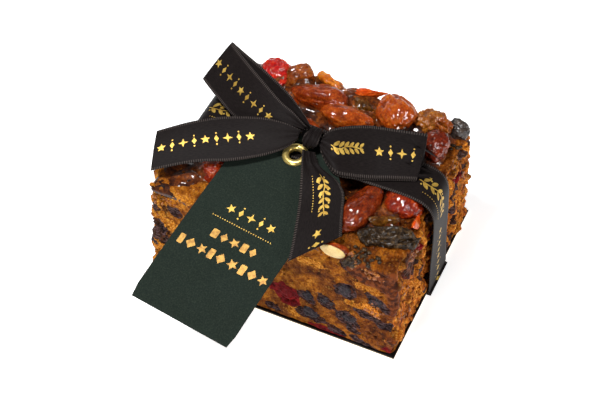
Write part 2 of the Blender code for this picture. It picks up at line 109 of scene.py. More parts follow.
FRONT_TAIL = [
    ((-0.8, -10.8, 73.8), (4.6, -9.8, 73.6)),
    ((0.6, -15.0, 72.2), (9.0, -13.6, 70.2)),
    ((3.4, -22.0, 70.4), (18.7, -17.8, 69.8)),
    ((7.6, -33.0, 67.6), (24.2, -22.4, 68.8)),
    ((10.6, -42.4, 65.8), (26.8, -28.8, 67.2)),
    ((13.8, -54.0, 63.2), (29.0, -35.0, 65.2)),
    ((15.4, -61.4, 60.9), (31.2, -40.4, 63.0)),
]
RIGHT_LOOP_OPENING = (3.4, 1.3)
FOLD_OPENING = 1.2
BAND_PATH = [
    (0.0, 0.0, 66.6, 0),
    (16.0, 0.0, 66.4, 0),
    (32.0, 0.2, 66.3, 0),
    (46.0, 0.4, 66.2, 1),
    (56.0, 0.0, 65.0, 2),
    (61.2, -0.8, 60.0, 3),
    (62.7, -1.2, 48.0, 3),
    (62.7, 0.8, 24.0, 1.5),
    (62.9, 3.0, 6.0, 0),
    (62.8, 3.4, 1.4, 0),
    (61.0, 3.6, 0.2, 0),
    (30.0, 3.8, 0.2, 0),
    (0.0, 4.2, 0.2, 0),
    (-30.0, 4.4, 0.2, 0),
    (-61.0, 4.4, 0.2, 0),
    (-62.9, 4.4, 1.4, 0),
    (-63.1, 4.3, 6.0, 0),
    (-62.6, 4.0, 24.0, 0),
    (-61.2, 3.4, 44.0, 0),
    (-59.0, 2.8, 55.0, 0),
    (-56.2, 2.6, 62.2, 0),
    (-51.5, 2.5, 65.6, 0),
    (-43.0, 2.0, 66.3, 0),
    (-30.0, 1.2, 66.4, 0),
    (-15.0, 0.4, 66.5, 0),
]


# ---------------------------------------------------------------- arrays and noise


def smoothstep(low, high, value):
    """0 below low, 1 above high, and an S-curve t*t*(3 - 2t) between."""
    t = np.clip((value - low) / (high - low), 0.0, 1.0)
    return t * t * (3 - 2 * t)


def lattice_noise(points, cell, seed):
    """Smooth noise from -1 to 1: random values at lattice corners, blended by an S-curve."""
    table = np.random.default_rng(seed).uniform(-1, 1, (32, 32, 32))
    place = points / cell
    base = np.floor(place).astype(int)
    t = place - base
    t = t * t * (3 - 2 * t)
    total = np.zeros(points.shape[:-1])
    for corner in itertools.product((0, 1), repeat=3):
        weight = np.prod(np.where(corner, t, 1 - t), axis=-1)
        spot = (base + corner) % 32
        total += weight * table[spot[..., 0], spot[..., 1], spot[..., 2]]
    return total


def layered_noise(points, cell, seed, layers=3):
    """Noise summed over halving cell sizes, each layer at 0.55 of the last one's strength."""
    parts = [0.55**k * lattice_noise(points, np.asarray(cell) / 2**k, seed + k) for k in range(layers)]
    return sum(parts)


def cell_distances(points, cell, seed):
    """Distances to the nearest and second nearest of one jittered point per lattice cell,
    in cells, and a random number for the nearest."""
    rng = np.random.default_rng(seed)
    jitter = rng.uniform(0, 1, (32, 32, 32, 3))
    marks = rng.uniform(0, 1, (32, 32, 32))
    place = points / cell
    base = np.floor(place).astype(int)
    first = np.full(points.shape[:-1], 9.0)
    second = np.full(points.shape[:-1], 9.0)
    mark = np.zeros(points.shape[:-1])
    for step in itertools.product((-1, 0, 1), repeat=3):
        spot = (base + step) % 32
        index = (spot[..., 0], spot[..., 1], spot[..., 2])
        away = np.linalg.norm(base + step + jitter[index] - place, axis=-1)
        nearer = away < first
        second = np.where(nearer, first, np.minimum(second, away))
        mark = np.where(nearer, marks[index], mark)
        first = np.where(nearer, away, first)
    return first, second, mark


def smooth_path(points, count, closed=False):
    """Evenly stepped points on the Catmull-Rom curve through the given points."""
    knots = np.asarray(points, float)
    if closed:
        knots = np.concatenate([knots[-1:], knots, knots[:2]])
    else:
        knots = np.concatenate([2 * knots[:1] - knots[1:2], knots, 2 * knots[-1:] - knots[-2:-1]])
    spans = len(knots) - 3
    place = np.linspace(0.0, spans, count)
    span = np.minimum(place.astype(int), spans - 1)
    t = (place - span).reshape((-1,) + (1,) * (knots.ndim - 1))
    before, start, end, after = (knots[span + step] for step in range(4))
    bend = 2 * before - 5 * start + 4 * end - after
    swing = 3 * start - 3 * end + after - before
    return 0.5 * (2 * start + (end - before) * t + bend * t**2 + swing * t**3)


def unit(vectors):
    return vectors / np.maximum(np.linalg.norm(vectors, axis=-1, keepdims=True), 1e-9)


def grid_normals(grid, wrap=False):
    """Unit normals of a grid of points: along the rows crossed with across the columns."""
    along = np.gradient(grid, axis=0)
    across = np.gradient(grid, axis=1)
    if wrap:
        across = np.roll(grid, -1, axis=1) - np.roll(grid, 1, axis=1)
    return unit(np.cross(across, along))


# ---------------------------------------------------------------- meshes


def grid_faces(rows, columns, wrap=False):
    """Quads between neighbouring points of a grid, whose columns may close into a tube."""
    index = np.arange(rows * columns).reshape(rows, columns)
    if wrap:
        index = np.concatenate([index, index[:, :1]], axis=1)
    corners = [index[:-1, :-1], index[:-1, 1:], index[1:, 1:], index[1:, :-1]]
    return np.stack([corner.ravel() for corner in corners], axis=1)


def make_piece(name, points, faces, material, uv=None, values=None, smooth=True):
    """A mesh object from points in mm and faces, with its UV map and point attributes."""
    mesh = bpy.data.meshes.new(name)
    mesh.from_pydata((np.asarray(points) * MM).tolist(), [], [list(face) for face in faces])
    if uv is not None:
        corner = np.zeros(len(mesh.loops), np.int32)
        mesh.loops.foreach_get("vertex_index", corner)
        layer = mesh.uv_layers.new(name="UVMap")
        layer.data.foreach_set("uv", np.asarray(uv, np.float32)[corner].ravel())
    for key, value in (values or {}).items():
        layer = mesh.attributes.new(key, "FLOAT", "POINT")
        layer.data.foreach_set("value", np.asarray(value, np.float32).ravel())
    if smooth:
        mesh.shade_smooth()
    mesh.materials.append(material)
    piece = bpy.data.objects.new(name, mesh)
    bpy.context.scene.collection.objects.link(piece)
    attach(piece, "root")
    return piece


def closed_ball(grid):
    """Points and faces of a closed form: a grid of rings with a pole point at each end."""
    rows, columns = grid.shape[:2]
    faces = grid_faces(rows, columns, wrap=True)
    points = np.concatenate([grid.reshape(-1, 3), grid[:1].mean(axis=1), grid[-1:].mean(axis=1)])
    ring = np.arange(columns)
    after = np.roll(ring, -1)
    first = np.stack([after, ring, np.full(columns, rows * columns)], axis=1)
    last_ring = ring + (rows - 1) * columns
    last = np.stack([last_ring, np.roll(last_ring, -1), np.full(columns, rows * columns + 1)], axis=1)
    return points, [*faces.tolist(), *first.tolist(), *last.tolist()]


# ---------------------------------------------------------------- shader helpers


def srgb(red, green, blue):
    """A linear colour from red, green and blue out of 255."""
    parts = [channel / 255 for channel in (red, green, blue)]
    return [((c + 0.055) / 1.055) ** 2.4 if c > 0.04045 else c / 12.92 for c in parts] + [1.0]


def add_node(tree, kind, inputs=None, **settings):
    """A shader node with its settings, and its sockets set or linked."""
    made = tree.nodes.new(kind)
    for key, value in settings.items():
        setattr(made, key, value)
    for key, value in (inputs or {}).items():
        if isinstance(value, bpy.types.NodeSocket):
            tree.links.new(value, made.inputs[key])
        else:
            made.inputs[key].default_value = value
    return made


def new_group(name, inputs, outputs):
    """An empty shader node group, its input node and its output node."""
    tree = bpy.data.node_groups.new(name, "ShaderNodeTree")
    for label, kind, value in inputs:
        socket = tree.interface.new_socket(name=label, in_out="INPUT", socket_type=kind)
        if value is not None:
            socket.default_value = value
    for label, kind in outputs:
        tree.interface.new_socket(name=label, in_out="OUTPUT", socket_type=kind)
    return tree, tree.nodes.new("NodeGroupInput"), tree.nodes.new("NodeGroupOutput")


def use_group(tree, group, **inputs):
    made = tree.nodes.new("ShaderNodeGroup")
    made.node_tree = group
    for key, value in inputs.items():
        key = key.replace("_", " ")
        if isinstance(value, bpy.types.NodeSocket):
            tree.links.new(value, made.inputs[key])
        else:
            made.inputs[key].default_value = value
    return made


def math_node(tree, operation, first, second=0.0, third=0.0, clamp=False):
    made = add_node(tree, "ShaderNodeMath", operation=operation, use_clamp=clamp)
    for number, value in enumerate((first, second, third)):
        if isinstance(value, bpy.types.NodeSocket):
            tree.links.new(value, made.inputs[number])
        else:
            made.inputs[number].default_value = value
    return made.outputs[0]


def mix_colours(tree, factor, first, second, blend="MIX"):
    made = add_node(tree, "ShaderNodeMix", data_type="RGBA", blend_type=blend)
    for number, value in ((0, factor), (6, first), (7, second)):
        if isinstance(value, bpy.types.NodeSocket):
            tree.links.new(value, made.inputs[number])
        else:
            made.inputs[number].default_value = value
    return made.outputs[2]


def ramp(tree, factor, stops):
    """A colour ramp with (place, colour) stops."""
    made = add_node(tree, "ShaderNodeValToRGB", {"Fac": factor})
    elements = made.color_ramp.elements
    while len(elements) < len(stops):
        elements.new(0.5)
    for element, (place, colour) in zip(elements, stops):
        element.position = place
        element.color = colour
    return made.outputs["Color"]


def ramp_value(tree, factor, low, high):
    """0 below low and 1 above high."""
    made = add_node(tree, "ShaderNodeMapRange", {0: factor, 1: low, 2: high}, clamp=True)
    made.interpolation_type = "SMOOTHSTEP"
    return made.outputs[0]


def new_material(name, colour, roughness, **sockets):
    """A material, its tree and its Principled shader with constant socket values."""
    material = bpy.data.materials.new(name)
    material.use_nodes = True
    tree = material.node_tree
    shader = tree.nodes["Principled BSDF"]
    shader.inputs["Base Color"].default_value = colour
    shader.inputs["Roughness"].default_value = roughness
    for key, value in sockets.items():
        shader.inputs[key.replace("_", " ")].default_value = value
    return material, tree, shader


def object_place(tree, stretch=(1, 1, 1)):
    """Object coordinates in mm, stretched along the axes."""
    place = add_node(tree, "ShaderNodeTexCoord").outputs["Object"]
    scale = [value / MM for value in stretch]
    return add_node(tree, "ShaderNodeMapping", {"Vector": place, "Scale": scale}).outputs[0]


def noise_node(tree, place, scale, detail=3.0, roughness=0.55):
    """Noise of about 1/scale mm, from 0 to 1."""
    inputs = {"Vector": place, "Scale": scale, "Detail": detail, "Roughness": roughness}
    return add_node(tree, "ShaderNodeTexNoise", inputs).outputs["Fac"]


def attribute(tree, name):
    return add_node(tree, "ShaderNodeAttribute", attribute_name=name).outputs["Fac"]


def bump(tree, shader, height, distance, strength=1.0, socket="Normal"):
    """A Bump node, its distance in mm, on the shader's normal or its coat's."""
    inputs = {"Height": height, "Distance": distance * MM, "Strength": strength}
    made = add_node(tree, "ShaderNodeBump", inputs)
    tree.links.new(made.outputs[0], shader.inputs[socket])
    return made


# ---------------------------------------------------------------- materials


def group_grain():
    """Two sizes of noise mixed: a colour factor and a height for rough food surfaces."""
    tree, start, end = new_group(
        "food_grain",
        [("Coarse", "NodeSocketFloat", 0.3), ("Fine", "NodeSocketFloat", 1.2)],
        [("Factor", "NodeSocketFloat"), ("Height", "NodeSocketFloat")],
    )
    place = object_place(tree)
    coarse = add_node(tree, "ShaderNodeTexNoise", {"Vector": place, "Detail": 4.0})
    tree.links.new(start.outputs["Coarse"], coarse.inputs["Scale"])
    fine = add_node(tree, "ShaderNodeTexNoise", {"Vector": place, "Detail": 5.0})
    tree.links.new(start.outputs["Fine"], fine.inputs["Scale"])
    both = math_node(tree, "MULTIPLY_ADD", fine.outputs["Fac"], 0.45, 0.0)
    height = math_node(tree, "MULTIPLY_ADD", coarse.outputs["Fac"], 0.55, both)
    tree.links.new(coarse.outputs["Fac"], end.inputs["Factor"])
    tree.links.new(height, end.inputs["Height"])
    return tree


def cut_mask(tree, name, waver):
    """Inside of one kind of cut fruit: its field on the surface, its outline roughened."""
    field = math_node(tree, "ADD", attribute(tree, name), waver)
    return ramp_value(tree, field, 0.47, 0.56)


def cake_material(grain):
    """Moist golden crumb with fruit cut through it, and a brown, ridged crust on one side."""
    material, tree, shader = new_material(
        "cake_crumb", srgb(150, 96, 46), 0.6, Specular_IOR_Level=0.01, Coat_Weight=0.08, Coat_Roughness=0.12
    )
    place = object_place(tree)
    large = noise_node(tree, place, 0.085, 3.0)
    middle = noise_node(tree, place, 0.34, 3.0, 0.55)
    small = noise_node(tree, place, 1.2, 3.0, 0.6)
    gold = ramp(tree, middle, [(0.34, srgb(120, 62, 18)), (0.5, srgb(168, 98, 28)), (0.66, srgb(208, 138, 48))])
    brown = ramp(tree, middle, [(0.34, srgb(58, 30, 14)), (0.5, srgb(112, 60, 24)), (0.66, srgb(156, 92, 34))])
    crumb = mix_colours(tree, ramp_value(tree, large, 0.44, 0.56), gold, brown)
    speck = ramp(tree, small, [(0.34, srgb(120, 88, 66)), (0.48, srgb(214, 204, 190)), (0.62, srgb(255, 246, 218))])
    crumb = mix_colours(tree, 0.65, crumb, speck, "MULTIPLY")
    cells = add_node(tree, "ShaderNodeTexVoronoi", {"Vector": place, "Scale": 0.8})
    shade = add_node(tree, "ShaderNodeSeparateColor", {0: cells.outputs["Color"]}).outputs[0]
    grain_mark = math_node(tree, "MULTIPLY", ramp_value(tree, shade, 0.74, 0.84), ramp_value(tree, cells.outputs["Distance"], 0.5, 0.3))
    crumb = mix_colours(tree, math_node(tree, "MULTIPLY", grain_mark, 0.22), crumb, srgb(228, 164, 70))

    waver = math_node(tree, "MULTIPLY_ADD", middle, 0.3, -0.15)
    fine_waver = math_node(tree, "MULTIPLY_ADD", small, 0.6, -0.3)
    grainy = math_node(tree, "ADD", waver, fine_waver)
    lumps = ramp(tree, small, [(0.34, srgb(140, 70, 12)), (0.5, srgb(206, 124, 32)), (0.64, srgb(242, 178, 74))])
    crumb = mix_colours(tree, math_node(tree, "MULTIPLY", cut_mask(tree, "gold", grainy), 0.75), crumb, lumps)

    crust_wave = noise_node(tree, object_place(tree, (1, 0.7, 0.4)), 0.5, 3.0, 0.6)
    crust_stops = [
        (0.34, srgb(92, 42, 18)),
        (0.44, srgb(170, 90, 32)),
        (0.55, srgb(226, 130, 46)),
        (0.66, srgb(250, 174, 72)),
    ]
    crust = mix_colours(tree, 0.55, ramp(tree, crust_wave, crust_stops), speck, "MULTIPLY")
    # The crumb is multiplied darker towards +X, from x 22 to 56 mm.
    across = add_node(tree, "ShaderNodeSeparateXYZ", {0: place}).outputs[0]
    darker_to_right = math_node(tree, "MULTIPLY", ramp_value(tree, across, 22.0, 56.0), 0.75)
    crumb = mix_colours(tree, darker_to_right, crumb, srgb(214, 196, 178), "MULTIPLY")
    colour = mix_colours(tree, attribute(tree, "crust"), crumb, crust)
    toasted = math_node(tree, "MULTIPLY", attribute(tree, "rim"), ramp_value(tree, middle, 0.36, 0.56))
    colour = mix_colours(tree, math_node(tree, "MULTIPLY", toasted, 0.85), colour, lumps)

    orange = ramp(tree, small, [(0.34, srgb(140, 66, 16)), (0.5, srgb(204, 116, 30)), (0.66, srgb(240, 172, 74))])
    colour = mix_colours(tree, cut_mask(tree, "peel", grainy), colour, orange)
    red = ramp(tree, middle, [(0.36, srgb(78, 10, 14)), (0.5, srgb(114, 18, 22)), (0.64, srgb(136, 30, 28))])
    red_mask = cut_mask(tree, "red", waver)
    colour = mix_colours(tree, red_mask, colour, red)
    folds = noise_node(tree, object_place(tree, (0.6, 1, 1.5)), 0.8, 3.0, 0.6)
    skin = ramp(tree, folds, [(0.38, srgb(10, 6, 8)), (0.5, srgb(38, 27, 30)), (0.62, srgb(88, 68, 70))])
    skin = mix_colours(tree, ramp_value(tree, middle, 0.58, 0.7), skin, srgb(74, 34, 24))
    raisin_mask = cut_mask(tree, "raisin", waver)
    colour = mix_colours(tree, math_node(tree, "MULTIPLY", raisin_mask, 0.95), colour, skin)

    film = mix_colours(tree, ramp_value(tree, middle, 0.4, 0.6), srgb(62, 28, 13), srgb(118, 58, 24))
    colour = mix_colours(tree, attribute(tree, "film"), colour, film)
    # Painted shade: pits, cracks and the crust's grooves and clefts are darkened towards near black.
    pit_shade = math_node(tree, "MULTIPLY", attribute(tree, "pit_shade"), 0.75)
    colour = mix_colours(tree, pit_shade, colour, srgb(30, 15, 9))
    tree.links.new(colour, shader.inputs["Base Color"])

    wet = math_node(tree, "MAXIMUM", math_node(tree, "MULTIPLY", raisin_mask, 0.5), attribute(tree, "film"))
    dry = math_node(tree, "MULTIPLY_ADD", small, 0.35, 0.36)
    rough = add_node(tree, "ShaderNodeMix", {0: wet, 2: dry, 3: 0.3}, data_type="FLOAT").outputs[0]
    tree.links.new(rough, shader.inputs["Roughness"])
    rugged = use_group(tree, grain, Coarse=0.9, Fine=3.2)
    soft = math_node(tree, "MULTIPLY_ADD", wet, -0.6, 1.0)
    granules = math_node(tree, "MULTIPLY_ADD", cells.outputs["Distance"], -0.4, rugged.outputs["Height"])
    height = math_node(tree, "MULTIPLY", granules, soft)
    bump(tree, shader, height, 1.1, 0.9)
    bump(tree, shader, height, 1.1, 0.5, "Coat Normal")
    return material


def glaze_material(grain):
    """Set syrup over crumb: amber round the fruit, near black where it is deep, and glossy."""
    material, tree, shader = new_material("syrup_glaze", srgb(60, 32, 18), 0.4, Coat_Weight=0.8, Coat_Roughness=0.1)
    shader.inputs["Specular IOR Level"].default_value = 0.05
    mottled = use_group(tree, grain, Coarse=0.22, Fine=0.9)
    height = mottled.outputs["Height"]
    deep = ramp(tree, height, [(0.38, srgb(24, 11, 7)), (0.52, srgb(58, 27, 14)), (0.66, srgb(102, 52, 20))])
    amber = ramp(tree, height, [(0.38, srgb(56, 24, 10)), (0.52, srgb(108, 50, 15)), (0.66, srgb(162, 88, 26))])
    close = math_node(tree, "MULTIPLY_ADD", attribute(tree, "shade"), 0.45, attribute(tree, "near"))
    colour = mix_colours(tree, ramp_value(tree, close, 0.35, 0.95), deep, amber)
    tree.links.new(colour, shader.inputs["Base Color"])
    bump(tree, shader, height, 0.25, 0.5)
    bump(tree, shader, height, 0.7, 0.25, "Coat Normal")
    return material


def glazed_fruit(name, dark, light, bright, grain, wrinkle=0.35, gloss=0.08, under=0.0, patch=0.3, coat=1.0):
    """Dried or candied fruit under clear glaze: dark to bright mottling, small granules, fine
    wrinkles and a sharp coat that follows the larger of them. The fold valleys and the gaps
    between granules are painted darker as shade."""
    material, tree, shader = new_material(name, light, 0.42, Coat_Weight=coat, Coat_Roughness=gloss)
    shader.inputs["Specular IOR Level"].default_value = 0.01
    if under:
        shader.inputs["Subsurface Weight"].default_value = under
        shader.inputs["Subsurface Radius"].default_value = (1.0, 0.35, 0.15)
        shader.inputs["Subsurface Scale"].default_value = 2.0 * MM
    mottled = use_group(tree, grain, Coarse=patch, Fine=1.3)
    colour = ramp(tree, mottled.outputs["Height"], [(0.26, dark), (0.5, light), (0.74, bright)])
    cells = add_node(tree, "ShaderNodeTexVoronoi", {"Vector": object_place(tree), "Scale": 0.85})
    granule = ramp_value(tree, cells.outputs["Distance"], 0.55, 0.25)
    # Painted shade: between granules the colour is mixed 20% towards the dark one.
    granule_gap_shade = math_node(tree, "MULTIPLY_ADD", granule, 0.2, 0.8)
    colour = mix_colours(tree, granule_gap_shade, dark, colour)
    # Painted shade: the fold valleys are mixed half way towards the dark colour.
    colour = mix_colours(tree, math_node(tree, "MULTIPLY", attribute(tree, "crease_shade"), 0.5), colour, dark)
    tree.links.new(colour, shader.inputs["Base Color"])
    veins = noise_node(tree, object_place(tree, (0.5, 1, 1)), 0.9, 3.0, 0.6)
    ridges = math_node(tree, "ABSOLUTE", math_node(tree, "SUBTRACT", veins, 0.5))
    height = math_node(tree, "MULTIPLY_ADD", granule, 0.2, mottled.outputs["Height"])
    height = math_node(tree, "MULTIPLY_ADD", ridges, -1.6, height)
    bump(tree, shader, height, wrinkle, 0.8)
    bump(tree, shader, height, wrinkle, 0.2, "Coat Normal")
    return material


def group_satin():
    """Satin ribbon on a UV map in mm: fine cross ribs, stitched selvedge ticks and a soft fleck."""
    tree, start, end = new_group(
        "satin_weave",
        [("Width", "NodeSocketFloat", RIBBON_WIDTH)],
        [("Height", "NodeSocketFloat"), ("Selvedge", "NodeSocketFloat"), ("Fleck", "NodeSocketFloat")],
    )
    place = add_node(tree, "ShaderNodeUVMap", uv_map="UVMap").outputs[0]
    axis = add_node(tree, "ShaderNodeSeparateXYZ", {0: place})
    across, along = axis.outputs[0], axis.outputs[1]
    from_edge = math_node(tree, "SUBTRACT", start.outputs["Width"], across)
    from_edge = math_node(tree, "MINIMUM", across, from_edge)
    border = ramp_value(tree, from_edge, 1.5, 1.0)
    tick = math_node(tree, "SINE", math_node(tree, "MULTIPLY", along, TAU / 0.95))
    tick = ramp_value(tree, tick, -0.1, 0.7)
    selvedge = math_node(tree, "MULTIPLY", border, tick)
    slant = math_node(tree, "MULTIPLY_ADD", along, 0.55, across)
    rib = math_node(tree, "SINE", math_node(tree, "MULTIPLY", slant, TAU / 0.42))
    stretched = add_node(tree, "ShaderNodeMapping", {"Vector": place, "Scale": (3.0, 0.5, 1.0)}).outputs[0]
    fleck = add_node(tree, "ShaderNodeTexNoise", {"Vector": stretched, "Scale": 1.0, "Detail": 3.0})
    height = math_node(tree, "MULTIPLY_ADD", rib, 0.12, math_node(tree, "MULTIPLY", selvedge, 0.9))
    tree.links.new(height, end.inputs["Height"])
    tree.links.new(selvedge, end.inputs["Selvedge"])
    tree.links.new(fleck.outputs["Fac"], end.inputs["Fleck"])
    return tree


def satin_material(name, weave, dark, light):
    """Dark satin: a soft sheen along the weave, with paler thread ticks on both edges."""
    material, tree, shader = new_material(name, light, 0.5, Specular_IOR_Level=0.05)
    cloth = use_group(tree, weave)
    colour = mix_colours(tree, ramp_value(tree, cloth.outputs["Fleck"], 0.3, 0.7), dark, light)
    thread = math_node(tree, "MULTIPLY", cloth.outputs["Selvedge"], 0.75)
    colour = mix_colours(tree, thread, colour, srgb(84, 76, 72))
    tree.links.new(colour, shader.inputs["Base Color"])
    rough = math_node(tree, "MULTIPLY_ADD", cloth.outputs["Fleck"], 0.16, 0.4)
    tree.links.new(rough, shader.inputs["Roughness"])
    bump(tree, shader, cloth.outputs["Height"], 0.09, 0.8)
    return material


def foil_material(name, low, high):
    """Thin metal foil pressed on: warm gold with uneven wear."""
    material, tree, shader = new_material(name, high, 0.45, Metallic=0.6)
    place = object_place(tree)
    worn = noise_node(tree, place, 0.5, 4.0)
    colour = mix_colours(tree, ramp_value(tree, worn, 0.35, 0.65), low, high)
    tree.links.new(colour, shader.inputs["Base Color"])
    rough = math_node(tree, "MULTIPLY_ADD", worn, 0.25, 0.36)
    tree.links.new(rough, shader.inputs["Roughness"])
    bump(tree, shader, noise_node(tree, place, 3.0, 2.0), 0.04, 0.5)
    return material


def tag_material():
    """Uncoated dark green card with a fine paper tooth and paler fibres."""
    material, tree, shader = new_material("green_card", srgb(36, 43, 39), 0.85, Specular_IOR_Level=0.05)
    place = object_place(tree)
    fibre = noise_node(tree, place, 1.6, 5.0, 0.7)
    cloud = noise_node(tree, place, 0.08, 2.0)
    colour = ramp(tree, fibre, [(0.3, srgb(28, 36, 33)), (0.52, srgb(37, 45, 40)), (0.72, srgb(50, 59, 50))])
    tone = mix_colours(tree, cloud, srgb(232, 232, 226), srgb(255, 255, 255))
    colour = mix_colours(tree, 1.0, colour, tone, "MULTIPLY")
    tree.links.new(colour, shader.inputs["Base Color"])
    bump(tree, shader, fibre, 0.08, 0.5)
    return material


def brass_material():
    """Polished pale brass with faint turned scratches."""
    material, tree, shader = new_material("eyelet_brass", srgb(232, 204, 118), 0.3, Metallic=0.8)
    place = object_place(tree)
    worn = noise_node(tree, place, 0.7, 3.0)
    colour = mix_colours(tree, worn, srgb(222, 186, 90), srgb(246, 226, 150))
    tree.links.new(colour, shader.inputs["Base Color"])
    rough = math_node(tree, "MULTIPLY_ADD", worn, 0.12, 0.26)
    tree.links.new(rough, shader.inputs["Roughness"])
    return material


def black_card_material():
    """Thin black card with a soft grain; its cut lower edge is a little paler."""
    material, tree, shader = new_material("black_card", srgb(16, 14, 14), 0.6, Specular_IOR_Level=0.12)
    place = object_place(tree)
    grain = noise_node(tree, place, 1.2, 4.0)
    height = add_node(tree, "ShaderNodeSeparateXYZ", {0: place}).outputs[2]
    edge = ramp_value(tree, height, 1.15, 1.0)
    colour = mix_colours(tree, grain, srgb(10, 9, 9), srgb(20, 18, 17))
    colour = mix_colours(tree, edge, colour, srgb(226, 204, 172))
    tree.links.new(colour, shader.inputs["Base Color"])
    bump(tree, shader, grain, 0.05, 0.4)
    return material


# ---------------------------------------------------------------- cake


BLOCK_HALF = np.array([61.5, 47.9])
BLOCK_BASE = 2.0
BLOCK_TOP = 58.8
BLOCK_TAPER = 1.9
BASE_ROUND = 1.0
TOP_ROUND = 3.4
CORNER_POWER = 38.0
BLOCK_COLUMNS = 700
BAND_PINCH = 2.6

# Fruit cut through at the front face: kind, x, z, length, height and slant in degrees.
FRONT_FRUIT = [
    ("red", 7.7, 18.6, 15.0, 10.5, -28),
    ("raisin", 18.6, 21.6, 8.0, 5.6, -24),
    ("raisin", 27.4, 23.0, 8.6, 7.2, -40),
    ("raisin", 36.6, 35.2, 9.8, 9.4, 20),
    ("raisin", 20.6, 9.8, 13.0, 5.4, -12),
    ("raisin", 37.8, 17.2, 11.4, 7.0, -14),
    ("raisin", 52.6, 35.0, 15.0, 4.4, -30),
    ("raisin", 46.0, 24.0, 9.6, 4.6, -22),
    ("raisin", 55.4, 21.4, 10.6, 6.0, -14),
    ("raisin", 41.4, 10.4, 7.4, 4.4, -20),
    ("raisin", 33.0, 6.0, 11.0, 3.6, -20),
    ("raisin", 46.0, 4.0, 12.0, 3.2, -10),
    ("raisin", 54.6, 47.0, 6.4, 6.0, -30),
    ("red", 58.6, 44.6, 5.8, 5.4, -50),
    ("red", 29.0, 3.6, 16.0, 3.6, -4),
    ("peel", 49.0, 29.4, 9.0, 4.4, -24),
    ("peel", 58.6, 11.6, 4.6, 3.4, -30),
    ("red", 59.0, 5.0, 6.0, 4.0, 8),
    ("gold", 40.4, 28.6, 9.0, 4.0, 8),
    ("gold", 47.4, 43.0, 12.0, 7.6, -10),
    ("gold", 12.6, 9.6, 7.0, 5.6, -50),
    ("gold", 19.8, 46.0, 14.0, 4.6, 0),
    ("gold", 49.4, 53.4, 7.6, 4.6, -24),
    ("raisin", 36.2, 51.6, 7.0, 5.4, -50),
    ("raisin", 2.0, 6.0, 8.6, 3.8, -8),
    ("raisin", -8.0, 12.0, 9.0, 6.0, -20),
    ("gold", -14.0, 30.0, 12.0, 8.0, 15),
    ("raisin", -20.0, 40.0, 9.0, 6.0, -30),
    ("raisin", -24.0, 18.0, 10.0, 6.4, -12),
    ("peel", -33.0, 30.0, 8.0, 4.6, 24),
    ("raisin", -36.0, 10.0, 9.6, 6.0, 10),
    ("red", -42.0, 22.0, 10.0, 7.6, -20),
    ("raisin", -47.6, 47.0, 9.0, 6.4, -34),
    ("raisin", -56.0, 33.6, 10.0, 6.2, -24),
    ("raisin", -55.0, 27.4, 11.0, 6.0, -30),
    ("raisin", -57.2, 45.0, 6.0, 5.0, -20),
    ("gold", -52.0, 38.0, 13.0, 6.0, -24),
    ("gold", -56.0, 20.0, 8.0, 7.0, 0),
]
FRUIT_SHARE = ("raisin", "raisin", "raisin", "raisin", "gold", "red", "peel", "gold")


def even_outline(count):
    """Points at even steps along the superellipse |x|^p + |y|^p = 1 with the cake's proportions."""
    angle = np.linspace(0, TAU, 8001)
    power = CORNER_POWER
    reach = (np.abs(np.cos(angle)) ** power + np.abs(np.sin(angle)) ** power) ** (-1 / power)
    line = np.stack([reach * np.cos(angle), reach * np.sin(angle)], axis=1)
    step = np.linalg.norm(np.diff(line * BLOCK_HALF, axis=0), axis=1)
    length = np.concatenate([[0], np.cumsum(step)])
    places = np.linspace(0, length[-1], count, endpoint=False)
    return np.stack([np.interp(places, length, line[:, k]) for k in range(2)], axis=1)


def ring_grid(share, inset, height, columns):
    """Rings of the block's outline: each row has its share of the half sizes, less an inset,
    at its height. Heights may differ along a ring."""
    outline = even_outline(columns)
    reach = share[:, None] * BLOCK_HALF[None, :] - inset[:, None]
    flat = np.maximum(reach, 0.05)[:, None, :] * outline[None, :, :]
    z = np.broadcast_to(height[:, None] if height.ndim == 1 else height, flat.shape[:2])
    return np.concatenate([flat, z[..., None]], axis=-1)


def block_profile():
    """Rows from the middle of the base, round its edge, up the side, round the top edge and in."""
    quarter = np.linspace(0, math.pi / 2, 6)
    rise = np.linspace(0, 1, 112)
    turn = np.linspace(0, math.pi / 2, 9)[1:]
    inner = np.linspace(0.03, 1.0, 5)[:-1]
    crown = np.concatenate([np.linspace(1.0, 0.74, 19)[1:], [0.55, 0.3, 0.03]])
    low, high = BLOCK_BASE + BASE_ROUND, BLOCK_TOP - TOP_ROUND
    share = np.concatenate([inner, np.ones(len(quarter) + len(rise) - 1 + len(turn)), crown])
    inset = np.concatenate(
        [
            np.full(len(inner), BASE_ROUND),
            BASE_ROUND * (1 - np.sin(quarter)),
            BLOCK_TAPER * rise[1:],
            BLOCK_TAPER + TOP_ROUND * (1 - np.cos(turn)),
            np.full(len(crown), BLOCK_TAPER + TOP_ROUND),
        ]
    )
    height = np.concatenate(
        [
            np.full(len(inner), BLOCK_BASE),
            BLOCK_BASE + BASE_ROUND * (1 - np.cos(quarter)),
            low + (high - low) * rise[1:],
            high + TOP_ROUND * np.sin(turn),
            np.full(len(crown), BLOCK_TOP),
        ]
    )
    return share, inset, height


